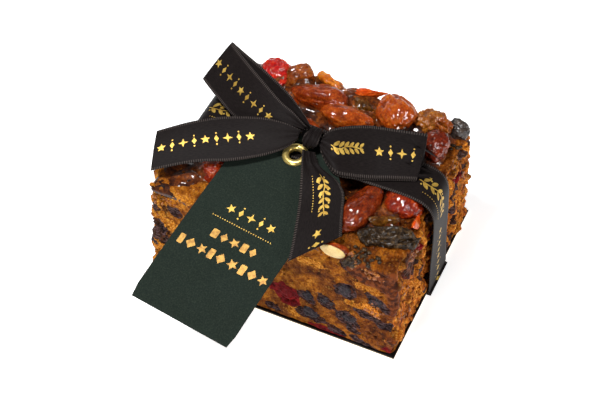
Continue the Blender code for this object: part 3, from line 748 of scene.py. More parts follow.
def cut_fruit():
    """All fruit seen in the faces: kind, centre, direction along it and upwards, half sizes.

    The front's are listed; the other three faces get theirs from a seeded draw."""
    found = []
    for kind, x, z, length, height, slant in FRONT_FRUIT:
        turn = math.radians(slant)
        along = np.array([math.cos(turn), 0, math.sin(turn)])
        over = np.array([-math.sin(turn), 0, math.cos(turn)])
        size = (0.58 * length, 0.58 * height)
        found.append((kind, np.array([x, -BLOCK_HALF[1] + 0.6, z]), along, over, size))
    rng = np.random.default_rng(61)
    east, north = np.array([1.0, 0, 0]), np.array([0, 1.0, 0])
    faces = [
        (east, north, BLOCK_HALF[0], BLOCK_HALF[1], 46),
        (north, east, BLOCK_HALF[1], BLOCK_HALF[0], 58),
        (east, north, -BLOCK_HALF[0], BLOCK_HALF[1], 44),
    ]
    for outward, level, out, reach, count in faces:
        for _ in range(count):
            kind = FRUIT_SHARE[rng.integers(len(FRUIT_SHARE))]
            side = rng.uniform(-0.95, 0.95) * reach
            z = rng.uniform(5, 55)
            turn = math.radians(rng.uniform(-50, 20))
            along = level * math.cos(turn) + np.array([0, 0, math.sin(turn)])
            over = -level * math.sin(turn) + np.array([0, 0, math.cos(turn)])
            size = (rng.uniform(3.2, 6.2), rng.uniform(2.0, 3.6))
            centre = outward * (out - math.copysign(0.6, out)) + level * side + np.array([0, 0, z])
            found.append((kind, centre, along, over, size))
    return found


def fruit_fields(grid):
    """For each kind of cut fruit a field over the faces: 1 inside, 0.5 on its outline, 0 outside.

    The distance is that of an ellipsoid, and the outline wavers by noise."""
    fields = {kind: np.zeros(grid.shape[:2]) for kind in ("raisin", "red", "peel", "gold")}
    waver = 0.22 * layered_noise(grid, 3.4, 77, 3)
    for kind, centre, along, over, half in cut_fruit():
        local = grid - centre
        first, second = local @ along, local @ over
        depth = np.linalg.norm(local - first[..., None] * along - second[..., None] * over, axis=-1)
        away = np.sqrt((first / half[0]) ** 2 + (second / half[1]) ** 2 + (depth / 3.4) ** 2)
        fields[kind] = np.maximum(fields[kind], np.clip(1.5 - away + waver, 0, 1))
    return fields


def fruit_frames():
    """For every fruit node its centre, half sizes and axes: long, across and up."""
    found = {}
    for name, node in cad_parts.items():
        if name.split("_")[0] not in ("almond", "cherry", "raisin", "peel", "date", "prune", "crumb", "face"):
            continue
        points = np.empty(len(node.data.vertices) * 3, np.float32)
        node.data.vertices.foreach_get("co", points)
        points = points.reshape(-1, 3).astype(float) / MM
        centre = (points.min(axis=0) + points.max(axis=0)) / 2
        flat = points[:, :2] - centre[:2]
        _, axes = np.linalg.eigh(flat.T @ flat)
        long = axes[:, 1] * np.sign(axes[0, 1] + 1e-6)
        turned = np.array([[long[0], long[1], 0], [-long[1], long[0], 0], [0, 0, 1]])
        local = (points - centre) @ turned.T
        half = (local.max(axis=0) - local.min(axis=0)) / 2
        centre = centre + (local.max(axis=0) + local.min(axis=0)) / 2 @ turned
        if np.sum(local[:, 0] ** 3) < 0:
            turned[:2] *= -1
        found[name] = (centre, half, turned)
    return found


def closeness(grid, fruits, reach):
    """exp(-distance / reach) to the nearest fruit's outline seen from above, 1 inside it."""
    near = np.zeros(grid.shape[:2])
    for name, (centre, half, axes) in fruits.items():
        if name.startswith("face"):
            continue
        local = (grid - centre) @ axes.T
        out = np.sqrt((local[..., 0] / half[0]) ** 2 + (local[..., 1] / half[1]) ** 2)
        beyond = np.maximum(out - 0.9, 0) * min(half[0], half[1])
        near = np.maximum(near, np.exp(-beyond / reach))
    return near


def crack_depth(grid):
    """1 inside a short crack near the top of the front face and a slit in a raisin; both are sunk into the relief and
    painted dark as shade.
    """
    deep = np.zeros(grid.shape[:2])
    for start, run, wide in (((44.0, 52.6), (8.0, -4.0), 1.0), ((37.0, 18.6), (4.2, -1.4), 0.8)):
        place = grid[..., [0, 2]] - np.array(start)
        run = np.array(run)
        along = np.clip(place @ run / (run @ run), 0, 1)
        away = np.linalg.norm(place - along[..., None] * run, axis=-1)
        deep = np.maximum(deep, smoothstep(wide, 0.2, away) * (grid[..., 1] < -30))
    return deep


def block_surface():
    """The skin of the block with its relief and masks, without the glaze on its top.

    Front, left and back are cut crumb: fine grain, pits, grainy golden lumps and fruit cut
    through. The right side is crust: upright ragged ridges, 1 - 2|noise|, with lumps between."""
    grid = ring_grid(*block_profile(), BLOCK_COLUMNS)
    normal = grid_normals(grid, wrap=True)
    side = 1 - smoothstep(0.5, 0.9, np.abs(normal[..., 2]))
    right = smoothstep(0.3, 0.8, normal[..., 0]) * side
    cut = side * (1 - right)
    fields = fruit_fields(grid)
    inside = {kind: smoothstep(0.4, 0.62, field) for kind, field in fields.items()}

    waves = layered_noise(grid, 14.0, 5, 2)
    crumb = layered_noise(grid, 3.2, 11, 3)
    near, _, mark = cell_distances(grid + 0.9 * crumb[..., None], 3.1, 23)
    pits = smoothstep(0.36, 0.14, near) * (mark > 0.7)
    grains, _, _ = cell_distances(grid, 1.5, 29)
    wrinkles = 1 - 2 * np.abs(layered_noise(grid, 2.6, 37, 2))
    ragged = 1 - 2 * np.abs(layered_noise(grid * [1.0, 1.0, 0.5], 4.2, 31, 3))
    chunks, beyond, chunk_mark = cell_distances(grid * [1.0, 1.0, 0.75] + 1.5 * crumb[..., None], 5.4, 43)
    shelf = layered_noise(grid, 9.0, 41, 2)
    crack = crack_depth(grid)
    cleft = smoothstep(0.16, 0.02, beyond - chunks)

    relief = 0.5 * waves + cut * (0.45 * crumb - 1.0 * pits - 1.5 * crack + 0.25 * (0.5 - grains))
    relief += inside["gold"] * (0.45 + 0.6 * (0.5 - grains))
    relief += inside["peel"] * (0.45 + 0.6 * (0.5 - grains))
    relief += inside["raisin"] * (-0.1 + 0.5 * wrinkles) * (cut + 0.5 * right)
    relief += inside["red"] * (0.1 + 0.12 * wrinkles)
    lump = smoothstep(0.62, 0.15, chunks) * (chunk_mark > 0.3)
    relief += right * (0.5 * ragged + 1.0 * shelf + 0.35 * crumb + 1.7 * lump - 1.2 * cleft - 1.0)
    over = smoothstep(0.5, 0.9, normal[..., 2])
    relief += over * (0.45 * crumb + 0.6 * shelf + 0.8 * lump + 0.3 * wrinkles)
    rim = smoothstep(BLOCK_TOP - 12.0, BLOCK_TOP - 3.0, grid[..., 2]) * side
    relief += rim * (0.6 * shelf + 1.3 * lump - 0.6 * cleft)
    corner = np.exp(-(((grid[..., 0] - 60) / 5) ** 2 + ((grid[..., 1] + 47) / 5) ** 2)) * side
    relief += corner * (1.4 * lump + 0.8 * shelf + 0.5 * crumb)
    left_end = smoothstep(-44, -58, grid[..., 0]) * side
    relief += left_end * (1.0 * shelf + 2.6 * (0.45 - chunks) - 0.8 * cleft)
    foot = smoothstep(BLOCK_BASE + 0.2, BLOCK_BASE + 3.0, grid[..., 2])

    front_film = 1.3 * cut * np.exp(-(((grid[..., 0] - 47) / 12) ** 2 + ((grid[..., 2] - 50) / 7) ** 2))
    right_film = right * np.exp(-(((grid[..., 1] + 31) / 9) ** 2 + ((grid[..., 2] - 48) / 11) ** 2))
    film = smoothstep(0.42, 0.66, front_film + right_film + 0.55 * corner + 0.3 * shelf) * side
    film *= grid[..., 1] < 0
    relief *= 1 - 0.6 * film
    relief += film * 0.6
    grid = grid + normal * (relief * (0.35 + 0.65 * foot))[..., None]
    grid[..., 2] = np.maximum(grid[..., 2], BLOCK_BASE)
    grid = drawn_in(grid)

    high = smoothstep(26, 46, grid[..., 2])
    # The crust's grooves and clefts join the pits and cracks in the painted shade mask.
    groove = right * np.maximum(smoothstep(0.0, -0.7, ragged), cleft)
    masks = {
        "crust": right,
        "film": film,
        "raisin": fields["raisin"],
        "red": fields["red"],
        "peel": np.maximum(fields["peel"], right * np.where(chunk_mark > 0.7, 1.25 - 1.5 * chunks, 0)),
        "gold": np.maximum(fields["gold"] * 0.9, corner * (chunk_mark > 0.6) * (1.2 - 1.5 * chunks)),
        "pit_shade": np.clip(cut * (pits + crack) + groove, 0, 1),
        "rim": np.clip(np.maximum(rim * smoothstep(0.0, -20.0, grid[..., 0]), 1.2 * left_end) + right * high * lump, 0, 1),
    }
    return grid, masks


def drawn_in(grid):
    """The block where the ribbon holds it: its left top edge pulled in, and clear of the band.

    The pull is BAND_PINCH times the square of the height's share, dying out as exp(-(y/15)^2)
    from the band's middle."""
    x, y, z = (grid[..., axis] for axis in range(3))
    up = np.clip((z - BLOCK_BASE) / (BLOCK_TOP - BLOCK_BASE), 0, 1)
    held = np.exp(-(((y - 3.0) / 15.0) ** 2))
    x = x + np.where(x < 0, BAND_PINCH * up**2 * held * np.abs(x) / BLOCK_HALF[0], 0)
    under = smoothstep(19.0, 14.0, np.abs(y - 3.0))
    left = np.interp(z, [6, 24, 44, 55, 62], [-62.3, -61.8, -60.3, -58.0, -55.4])
    kept = np.clip(x, left, 61.9)
    return np.stack([x + (kept - x) * under, y, z], axis=-1)


def make_cake(material):
    """The block; its skin's points are handed back for what lies on it."""
    grid, masks = block_surface()
    points, faces = closed_ball(grid)
    values = {key: np.append(mask.ravel(), [mask[0, 0], mask[-1, 0]]) for key, mask in masks.items()}
    cake = make_piece("cake_body", points, faces, material, values=values)
    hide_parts("cake_block")
    return grid


def make_glaze(fruits, material):
    """The syrup glaze: a closed sheet over the top that fills the gaps and runs over the edge.

    Its level is low noise plus a rise of exp(-distance) round every fruit; its edge hangs
    down by 1 mm plus the square of noise along the rim."""
    columns = BLOCK_COLUMNS
    inner = np.linspace(0.02, 1.0, 104)
    turn = np.linspace(0, math.pi / 2, 10)[1:]
    drop = np.linspace(0, 1, 9)[1:]
    outer_round = BLOCK_TAPER + TOP_ROUND
    bend = TOP_ROUND + 0.12
    share = np.concatenate([inner, np.ones(len(turn) + len(drop) + 1), [1.0, 0.5, 0.02]])
    inset = np.concatenate(
        [
            np.full(len(inner), outer_round),
            outer_round - bend * np.sin(turn),
            outer_round - bend + 0.9 * drop**2,
            [outer_round - bend + 3.0],
            np.full(3, outer_round),
        ]
    )
    rim = even_outline(columns) * BLOCK_HALF
    bare = smoothstep(46, 55, rim[:, 0])
    rim = np.concatenate([rim, np.zeros((columns, 1))], axis=1)
    hang = 0.3 + 3.5 * np.clip(lattice_noise(rim, 7.0, 91), 0, 1) ** 1.3
    arc = -bend * (1 - np.cos(turn))
    fall = np.concatenate([np.zeros(len(inner)), arc, np.full(len(drop) + 1, -bend), np.full(3, -3.2)])
    run = np.concatenate([np.zeros(len(inner) + len(turn)), drop, [1.0], np.zeros(3)])
    height = BLOCK_TOP + fall[:, None] - run[:, None] * hang[None, :]
    grid = ring_grid(share, inset, height, columns)

    upper = np.zeros(len(share))
    upper[: len(inner)] = 1
    upper[len(inner) : len(inner) + len(turn)] = np.cos(turn)
    near = closeness(grid, fruits, 1.7)
    warm = closeness(grid, fruits, 4.0)
    level = 0.9 + 0.6 * lattice_noise(grid, 12.0, 51) + 0.35 * lattice_noise(grid, 4.6, 52)
    level += 0.14 * lattice_noise(grid, 1.9, 53)
    front = smoothstep(-29, -37, grid[..., 1] + 3 * lattice_noise(grid, 8.0, 55))
    front *= 1 - 0.55 * smoothstep(-36, -44, grid[..., 0])
    level = (level - 3.6 * front) * (1 - 0.3 * front)
    level += 3.2 * warm * smoothstep(22, 36, grid[..., 1]) * smoothstep(12, 0, grid[..., 0])
    level -= 3.0 * smoothstep(47, 56, grid[..., 0] + 4 * lattice_noise(grid, 7.0, 56))
    grid[..., 2] += upper[:, None] * (level + 3.2 * near * (1 - 0.75 * front))
    bulge = (1 - upper[:, None]) * (run[:, None] < 1) * (fall[:, None] < -0.01)
    push = unit(grid * [1, 1, 0]) * (bulge * (0.3 * lattice_noise(grid, 5.0, 54)))[..., None]
    push[-3:] = 0
    grid = drawn_in(grid + push)
    grid[len(inner) :, :, 0] -= 3.4 * bare

    points, faces = closed_ball(grid)
    shade = layered_noise(grid, 6.0, 57, 2)
    values = {"near": np.append(warm.ravel(), [0, 0]), "shade": np.append(shade.ravel(), [0, 0])}
    return make_piece("syrup_glaze", points, faces, material, values=values)


# ---------------------------------------------------------------- fruit and nuts


BALL_ROWS = 56
BALL_COLUMNS = 80


def unit_ball(rows, columns):
    """Rings of a unit ball round its X axis, from one end to the other, without the poles."""
    along = np.linspace(0.05, math.pi - 0.05, rows)[:, None]
    around = np.linspace(0, TAU, columns, endpoint=False)[None, :]
    x = -np.cos(along) * np.ones_like(around)
    return np.stack([x, np.sin(along) * np.cos(around), np.sin(along) * np.sin(around)], axis=-1)


# How each kind of fruit is pushed in and out: large dents, folds, fine wrinkles (mm), and how
# much longer than wide the wrinkles are.
FRUIT_RELIEF = {
    "almond": (0.45, 0.26, 0.16, 2.6),
    "date": (0.6, 0.5, 0.22, 2.4),
    "cherry": (0.6, 0.45, 0.2, 1.3),
    "raisin": (0.5, 0.8, 0.24, 1.5),
    "peel": (0.5, 0.45, 0.24, 1.6),
    "curl": (0.3, 0.25, 0.16, 1.6),
    "sliver": (0.4, 0.3, 0.16, 2.6),
    "lump": (0.9, 0.5, 0.35, 1.0),
    "burnt": (1.4, 1.2, 0.6, 3.0),
}
# Planes that flatten each kind's sides, and how near the nearest may lie: 1 leaves it round.
FRUIT_FACETS = {"almond": (7, 0.8), "date": (9, 0.72), "cherry": (8, 0.76), "raisin": (9, 0.7)}


def faceted(ball, seed, count, low):
    """The unit ball with flattened sides: r = (1 + sum (n.d / limit)^p)^(-1/p) over seeded planes."""
    rng = np.random.default_rng(seed)
    planes = unit(rng.normal(size=(count, 3)))
    limits = rng.uniform(low, 1.0, count)
    facing = np.maximum(ball @ planes.T, 0) / limits
    return ball * ((1 + np.sum(facing**12, axis=-1)) ** (-1 / 12))[..., None]


def fruit_skin(kind, half, seed, rows=BALL_ROWS, columns=BALL_COLUMNS):
    """A fruit or nut about its own axes in mm, and its crease shade from 0 to 1: the fold valleys, which the fruit
    material paints darker as shade.

    A ball with flattened sides is scaled to its half sizes, with a taper of 1 - 0.25x for an
    almond or date, a squarer, bent form for peel, and a thin arched one for a curl. Along its
    normal it is then pushed by low noise for dents, by 1 - 2|noise| for folds, and by finer
    noise of the same kind for wrinkles."""
    ball = unit_ball(rows, columns)
    x = ball[..., 0]
    form = ball.copy()
    if kind in FRUIT_FACETS:
        form = faceted(ball, seed, *FRUIT_FACETS[kind])
    if kind in ("almond", "date"):
        form[..., 1:] *= (1 - 0.25 * x)[..., None]
    if kind == "peel":
        form *= (np.sum(ball**4, axis=-1) ** -0.25)[..., None] * 0.92
        form[..., 1] += 0.35 * (x**2 - 0.5)
    if kind == "curl":
        form[..., 2] = 0.3 * form[..., 2] + 0.9 * (0.5 - form[..., 1] ** 2) + 0.2 * np.sin(2.4 * x)
    if kind == "sliver":
        form[..., 1:] *= (0.62 - 0.38 * x)[..., None]
        form[..., 2] += 0.3 * x
    form = form * half
    normal = unit(ball / half)
    spot = form + 37.0 * seed
    dent, fold, fine, stretch = FRUIT_RELIEF[kind]
    size = float(np.min(half))
    dents = layered_noise(spot, 1.15 * size, seed, 2)
    drawn = spot * [1 / stretch, 1.0, 1.0]
    folds = 1 - 2 * np.abs(layered_noise(drawn, 2.6, seed + 3, 2))
    wrinkles = 1 - 2 * np.abs(layered_noise(drawn, 1.2, seed + 7, 2))
    scale = min(1.0, size / 3.5)
    push = scale * (dent * dents + fold * (folds - 0.4) + fine * (wrinkles - 0.4))
    if kind == "lump":
        near, _, _ = cell_distances(spot, 2.0, seed)
        push += scale * 1.3 * (0.5 - near)
    # Crease shade: 1 down in the fold valleys, where the fruit material paints shade.
    crease_shade = smoothstep(0.1, -0.9, folds)
    return form + normal * push[..., None], crease_shade


def make_fruit(name, kind, place, material, node=None, squeeze=(1, 1, 1), turned_round=False):
    """One fruit in its solid's place, squeezed along its own axes or turned end for end."""
    centre, half, axes = place
    if turned_round:
        axes = axes * [[-1], [-1], [1]]
    seed = sum(ord(letter) for letter in name) % 97 + 5
    form, crease_shade = fruit_skin(kind, half * np.array(squeeze), seed)
    grid = form @ axes + centre
    if node and node.startswith("face"):
        plane = 0.35 - BLOCK_HALF[1] + BLOCK_TAPER * (grid[..., 2] - BLOCK_BASE) / (BLOCK_TOP - BLOCK_BASE)
        cut = plane - 0.85 + 0.5 * lattice_noise(grid, 1.6, seed)
        grid[..., 1] = np.maximum(grid[..., 1], cut)
    points, faces = closed_ball(grid)
    values = {"crease_shade": np.append(crease_shade.ravel(), [0, 0])}
    piece = make_piece(name, points, faces, material, values=values)
    if node:
        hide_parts(node)
    return piece


def make_cut_almond(place, skin, flesh):
    """A nut sliced across: a red-brown skin shell with a flat cream face towards the front."""
    centre, half, axes = place
    form, crease_shade = fruit_skin("almond", half * [1.15, 1.2, 1.1], 12)
    grid = form @ axes + centre
    front = centre[1] - 0.35 * half[1]
    flat = np.maximum(grid[..., 1], front)
    grid = np.stack([grid[..., 0], flat, grid[..., 2]], axis=-1)
    points, faces = closed_ball(grid)
    values = {"crease_shade": np.append(crease_shade.ravel(), [0, 0])}
    shell = make_piece("almond_cut_skin", points, faces, skin, values=values)
    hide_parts("almond_cut")
    slab = unit_ball(30, 60) * [half[0] * 0.95, 1.1, half[2] * 0.95]
    slab[..., 1] += 0.2 * layered_noise(slab + 50, 3.0, 4, 2)
    slab = slab + [centre[0], front - 0.1, centre[2]]
    points, faces = closed_ball(slab)
    values = {"crease_shade": np.zeros(len(points))}
    make_piece("almond_cut_flesh", points, faces, flesh, values=values)


def scatter(name, kind, spots, sizes, turns, material, rows=9, columns=12):
    """Many small bits of one kind in one mesh: one skin, turned, scaled and moved per spot."""
    form, crease_shade = fruit_skin(kind, np.array([2.0, 1.6, 1.5]), 3, rows, columns)
    points, faces = closed_ball(form / 2)
    cosine, sine = np.cos(turns), np.sin(turns)
    zero, one = np.zeros_like(turns), np.ones_like(turns)
    spin = np.stack([cosine, sine, zero, -sine, cosine, zero, zero, zero, one], axis=-1).reshape(-1, 3, 3)
    placed = np.einsum("pk,nkj->npj", points, spin) * np.asarray(sizes)[:, None, None] + spots[:, None, :]
    every = [[corner + start for corner in face] for start in range(0, placed[..., 0].size, len(points)) for face in faces]
    marks = np.tile(np.append(crease_shade.ravel(), [0, 0]), len(spots))
    return make_piece(name, placed.reshape(-1, 3), every, material, values={"crease_shade": marks})


def strewn(skin, centres, reach, count, seed):
    """Spots on a skin within reach of some centres, with sizes that are mostly small, and turns."""
    rng = np.random.default_rng(seed)
    points = skin.reshape(-1, 3)
    share = count // len(centres)
    found = []
    for centre in centres:
        near = points[np.linalg.norm(points - np.array(centre), axis=1) < reach]
        if len(near):
            found.append(near[rng.integers(len(near), size=share)])
    spots = np.concatenate(found)
    sizes = 0.35 + 0.8 * rng.uniform(0, 1, len(spots)) ** 2
    return spots, sizes, rng.uniform(0, TAU, len(spots))


def make_bits(skin, golden, dark):
    """Loose crumbs: golden ones at the front rim, the right edge and the left end, and dark burnt
    ones beside them."""
    front = -BLOCK_HALF[1] + 1.0
    gold_centres = [
        (36, front + 1, 57.4), (37, front + 0.5, 56.6), (38.5, front, 55.6), (47, front, 54.4),
        (50, front, 52.0), (49, front, 30.0), (52, front, 28.0), (26, front + 1, 56.0),
        (59, -30, 54), (60, -24, 50), (60.4, -36, 36), (60.8, -40, 22), (60.8, -32, 14),
        (57, 26, 58), (50, 30, 59), (44, 34, 59), (58.6, 16, 54), (59.6, 24, 46), (60, 34, 40),
        (-50, front, 54), (-56, front + 1, 50), (-59, front + 3, 40), (-59.6, front + 4, 24),
    ]
    spots, sizes, turns = strewn(skin, gold_centres, 4.0, 276, 17)
    scatter("crumbs_golden", "lump", spots, sizes, turns, golden)
    dark_centres = [
        (38, front + 4, 58.4), (43, front + 4, 58.4), (41, front + 2, 57.4),
        (47, front + 3, 58.0), (-54, front + 2, 54), (56, 32, 58), (48, 36, 58.4),
    ]
    spots, sizes, turns = strewn(skin, dark_centres, 4.0, 96, 19)
    scatter("crumbs_burnt", "raisin", spots, sizes * 1.2, turns, dark)


# ---------------------------------------------------------------- ribbon


def outer_normals(grid):
    """Unit normals of a ribbon, turned so that its front layer's point up."""
    normal = grid_normals(grid)
    front = normal[: len(normal) // 3, :, 2].mean()
    return normal if front > 0 else -normal


def ribbon_grid(pairs, rows, columns, crown=0.0, pleats=0.0, both=False):
    """Points across and along a ribbon between its two edge lines, and their flat (u, v) in mm.

    The cross-section bulges by crown * (1 - s^2), s from -1 to 1, and near the knot it is
    pleated by a sine across the width that dies out within about 12 mm."""
    line = smooth_path(np.asarray(pairs, float), rows)
    share = np.linspace(0, 1, columns)
    grid = line[:, None, 0] * (1 - share)[None, :, None] + line[:, None, 1] * share[None, :, None]
    middle = line.mean(axis=1)
    step = np.linalg.norm(np.diff(middle, axis=0), axis=1)
    along = np.concatenate([[0], np.cumsum(step)])
    normal = outer_normals(grid)
    s = 2 * share - 1
    near = along if not both else np.minimum(along, along[-1] - along)
    wave = np.sin(share * TAU * 2.5 + 0.6)[None, :] * np.exp(-((near / 12.0) ** 2))[:, None]
    ripple = lattice_noise(grid, 16.0, 7) * smoothstep(2, 14, near)[:, None]
    push = crown * (1 - s**2)[None, :] + pleats * wave + 0.25 * ripple
    grid = grid + normal * push[..., None]
    u = np.broadcast_to(share[None, :] * RIBBON_WIDTH, grid.shape[:2])
    v = np.broadcast_to(along[:, None], grid.shape[:2])
    return grid, np.stack([u, v], axis=-1)


def make_ribbon(name, grid, flat, material, node):
    """A ribbon piece: the middle surface thickened both ways, with its flat size in mm as its UV map."""
    rows, columns = grid.shape[:2]
    points = grid.reshape(-1, 3)
    piece = make_piece(name, points, grid_faces(rows, columns).tolist(), material, uv=flat.reshape(-1, 2))
    wall = piece.modifiers.new("thickness", "SOLIDIFY")
    wall.thickness = RIBBON_THICK * MM
    wall.offset = 0.0
    wall.use_even_offset = True
    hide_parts(node)
    return piece


def folded_back(pairs, opening):
    """Edge pairs of a loop: out along the pairs, round a tight fold, and back underneath."""
    front = np.asarray(pairs, float)
    run = unit(front[-1] - front[-2])
    down = np.array([0.0, 0.0, -1.0])
    tip = front[-1] + run * FOLD_OPENING / 2 + down * FOLD_OPENING / 2
    back = front[::-1] + down * np.array(opening)[:, None]
    back[0] = front[-1] + down * FOLD_OPENING
    back[-1] = front[0] + down * FOLD_OPENING
    back[-2] = front[1] + down * FOLD_OPENING * 1.3
    return np.concatenate([front, tip[None], back])


def left_loop_pairs():
    """Edge pairs of the left loop: up over the front layer, round the fold and down behind."""
    front = np.asarray(LEFT_LOOP_FRONT, float)
    run = unit(front[-1] - front[-2])
    tip = front[-1] + run * FOLD_OPENING / 2 + [0.3, 0.9, -0.5]
    back = front[-1] + [0.6, 1.4, -1.4]
    return np.concatenate([front, tip[None], back[None], np.asarray(LEFT_LOOP_BACK, float)])


def band_grid(rows, columns):
    """The ribbon round cake and card: a closed line of middles, each with its leaning width."""
    path = smooth_path(np.asarray(BAND_PATH, float), rows, closed=True)
    path[:, 2] = np.maximum(path[:, 2], 0.2)
    lean = np.radians(path[:, 3])
    across = np.stack([np.sin(lean), -np.cos(lean), np.zeros(rows)], axis=1)
    share = np.linspace(-0.5, 0.5, columns)
    grid = path[:, None, :3] + across[:, None, :] * (share * RIBBON_WIDTH)[None, :, None]
    step = np.linalg.norm(np.diff(path[:, :3], axis=0), axis=1)
    along = np.concatenate([[0], np.cumsum(step)])
    u = np.broadcast_to((share + 0.5)[None, :] * RIBBON_WIDTH, grid.shape[:2])
    v = np.broadcast_to(along[:, None], grid.shape[:2])
    return grid, np.stack([u, v], axis=-1)


def make_knot(material):
    """The knot: a pleated band wrapped round the bow, with its edges rolled in, and its core.

    The wrap is a ring about X whose radius follows an ellipse; lengthwise pleats are a sine of
    the place across its width, and its two edges dip towards the core."""
    rows, columns = 96, 40
    around = np.linspace(0, TAU, rows)[:, None]
    share = np.linspace(-1, 1, columns)[None, :]
    pleat = 0.32 * np.sin(share * 9.0 + 0.8 * np.sin(around * 2)) + 0.12 * np.sin(share * 21 + 3 * around)
    roll = -1.6 * smoothstep(0.6, 1.0, np.abs(share))
    deep = 5.4 + pleat + roll
    tall = 3.7 + pleat + roll
    x = 3.3 * share * (1 + 0.12 * np.cos(around * 2 + 1)) + 0.5 * np.sin(around)
    grid = np.stack([x, deep * np.cos(around), tall * np.sin(around)], axis=-1) + KNOT_CENTRE
    u = np.broadcast_to((share + 1) * RIBBON_WIDTH / 2, grid.shape[:2])
    v = np.broadcast_to(around * 5.0, grid.shape[:2])
    uv = np.stack([u, v], axis=-1)
    wrap = make_piece("bow_knot", grid.reshape(-1, 3), grid_faces(rows, columns)[:, ::-1].tolist(), material, uv=uv.reshape(-1, 2))
    wall = wrap.modifiers.new("thickness", "SOLIDIFY")
    wall.thickness = RIBBON_THICK * MM
    wall.offset = 0.0
    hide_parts("ribbon_knot")
    core = unit_ball(24, 32) * [4.2, 3.6, 2.4] + KNOT_CENTRE
    points, faces = closed_ball(core)
    make_piece("bow_knot_core", points, faces, material, uv=points[:, :2])


# ---------------------------------------------------------------- gift tag


def tag_grid(rows=60, columns=31):
    """The tag's middle surface as a grid, with its flat (u, v) in mm from the upper left corner."""
    u, v = np.meshgrid(np.linspace(0, TAG_WIDTH, columns), np.linspace(0, TAG_LENGTH, rows))
    return tag_point(v - EYELET_EDGE, u - TAG_WIDTH / 2), np.stack([u, v], axis=-1)


def tag_point(distance, across, lift=0.0):
    """Points on the bent tag: distance down from the eyelet, across from its middle line, and
    lift off its face. The slope grows evenly from the top to the lower end."""
    distance = np.asarray(distance, float)
    share = distance / (TAG_LENGTH - EYELET_EDGE)
    slope = TAG_SLOPE_TOP + (TAG_SLOPE_LOW - TAG_SLOPE_TOP) * share
    mean_slope = (TAG_SLOPE_TOP + slope) / 2
    ahead = np.array([math.sin(TAG_TURN), -math.cos(TAG_TURN), 0.0])
    side = np.array([math.cos(TAG_TURN), math.sin(TAG_TURN), 0.0])
    up = np.array([0.0, 0.0, 1.0])
    flat = (distance * np.cos(mean_slope))[..., None]
    drop = (distance * np.sin(mean_slope))[..., None]
    normal = ahead * np.sin(slope)[..., None] + up * np.cos(slope)[..., None]
    return TAG_EYELET + ahead * flat - up * drop + side * np.asarray(across)[..., None] + normal * lift


def make_tag(material):
    """The card: rings from the eyelet hole out to an outline with two clipped corners, both faces."""
    columns, rows = 240, 40
    angle = np.linspace(0, TAU, columns, endpoint=False)
    direction = np.stack([np.cos(angle), np.sin(angle)], axis=1)
    half = TAG_WIDTH / 2
    top, low = -EYELET_EDGE, TAG_LENGTH - EYELET_EDGE
    clip = np.array([1.0, -1.0]) / math.sqrt(2)
    clip_reach = (half - TAG_CLIP - top) / math.sqrt(2)
    limits = [
        half / np.maximum(np.abs(direction[:, 0]), 1e-6),
        np.where(direction[:, 1] > 0, low, top) / np.where(np.abs(direction[:, 1]) < 1e-6, 1e-6, direction[:, 1]),
        clip_reach / np.maximum(np.abs(direction[:, 0]) * clip[0] + direction[:, 1] * clip[1], 1e-6),
    ]
    reach = np.min(np.abs(limits), axis=0)
    hole = EYELET_BORE + 0.4
    share = np.linspace(0, 1, rows)[:, None] ** 1.5
    radius = hole + (reach[None, :] - hole) * share
    across = radius * direction[None, :, 0]
    down = radius * direction[None, :, 1]
    rim = 0.12
    upper = tag_point(down, across, TAG_THICK / 2)
    lower = tag_point(down, across, -TAG_THICK / 2)
    outer = tag_point(down[-1:] * (1 + 0.0), across[-1:], 0.0)
    outward = unit(upper[-1:] - upper[-2:-1]) * rim
    grid = np.concatenate([upper, outer + outward, lower[::-1]])
    faces = grid_faces(len(grid), columns, wrap=True)
    inner = grid_faces(2, columns, wrap=True)
    last = (len(grid) - 1) * columns
    inner = np.where(inner < columns, inner + last, inner - columns)
    points = grid.reshape(-1, 3)
    tag = make_piece("tag_card", points, [*faces[:, ::-1].tolist(), *inner[:, ::-1].tolist()], material)
    tag.data.set_sharp_from_angle(angle=math.radians(50))
    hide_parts("gift_tag")


def make_eyelet(material):
    """The brass eyelet: a closed profile turned about the hole, a rolled flange and a short tube."""
    turn = np.linspace(0, TAU, 72, endpoint=False)
    roll = np.linspace(math.pi, 0, 14)
    middle = (EYELET_BORE + EYELET_FLANGE) / 2
    wide = (EYELET_FLANGE - EYELET_BORE) / 2
    rolled = np.stack([middle + wide * np.cos(roll), TAG_THICK / 2 + 0.05 + 1.5 * np.sin(roll)], axis=1)
    under = np.array([
        [EYELET_FLANGE - 0.3, TAG_THICK / 2],
        [EYELET_BORE + 0.4, TAG_THICK / 2],
        [EYELET_BORE + 0.4, -TAG_THICK / 2],
        [EYELET_FLANGE - 1.4, -TAG_THICK / 2 - 0.05],
        [EYELET_FLANGE - 1.5, -TAG_THICK / 2 - 0.5],
        [EYELET_BORE, -TAG_THICK / 2 - 0.5],
    ])
    profile = np.concatenate([rolled, under])
    radius, lift = profile[:, 0], profile[:, 1]
    centre = tag_point(0.0, 0.0)
    side = unit(tag_point(0.0, 1.0) - centre)
    ahead = unit(tag_point(0.5, 0.0) - tag_point(-0.5, 0.0))
    normal = np.cross(ahead, side) * -1
    if normal[2] < 0:
        normal = -normal
    out = np.cos(turn)[:, None] * side + np.sin(turn)[:, None] * ahead
    grid = centre + out[:, None, :] * radius[None, :, None] + normal * lift[None, :, None]
    grid = np.concatenate([grid, grid[:1]])
    faces = grid_faces(len(grid), len(profile), wrap=True)
    count = len(turn) * len(profile)
    faces = faces % count
    eyelet = make_piece("eyelet_ring", grid[:-1].reshape(-1, 3), faces.tolist(), material)
    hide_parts("tag_eyelet")
    fix_normals(eyelet)


def fix_normals(piece):
    """Faces of a closed mesh turned outwards."""
    shape = bmesh.new()
    shape.from_mesh(piece.data)
    bmesh.ops.recalc_face_normals(shape, faces=shape.faces)
    shape.to_mesh(piece.data)
    shape.free()


# ---------------------------------------------------------------- foil shapes


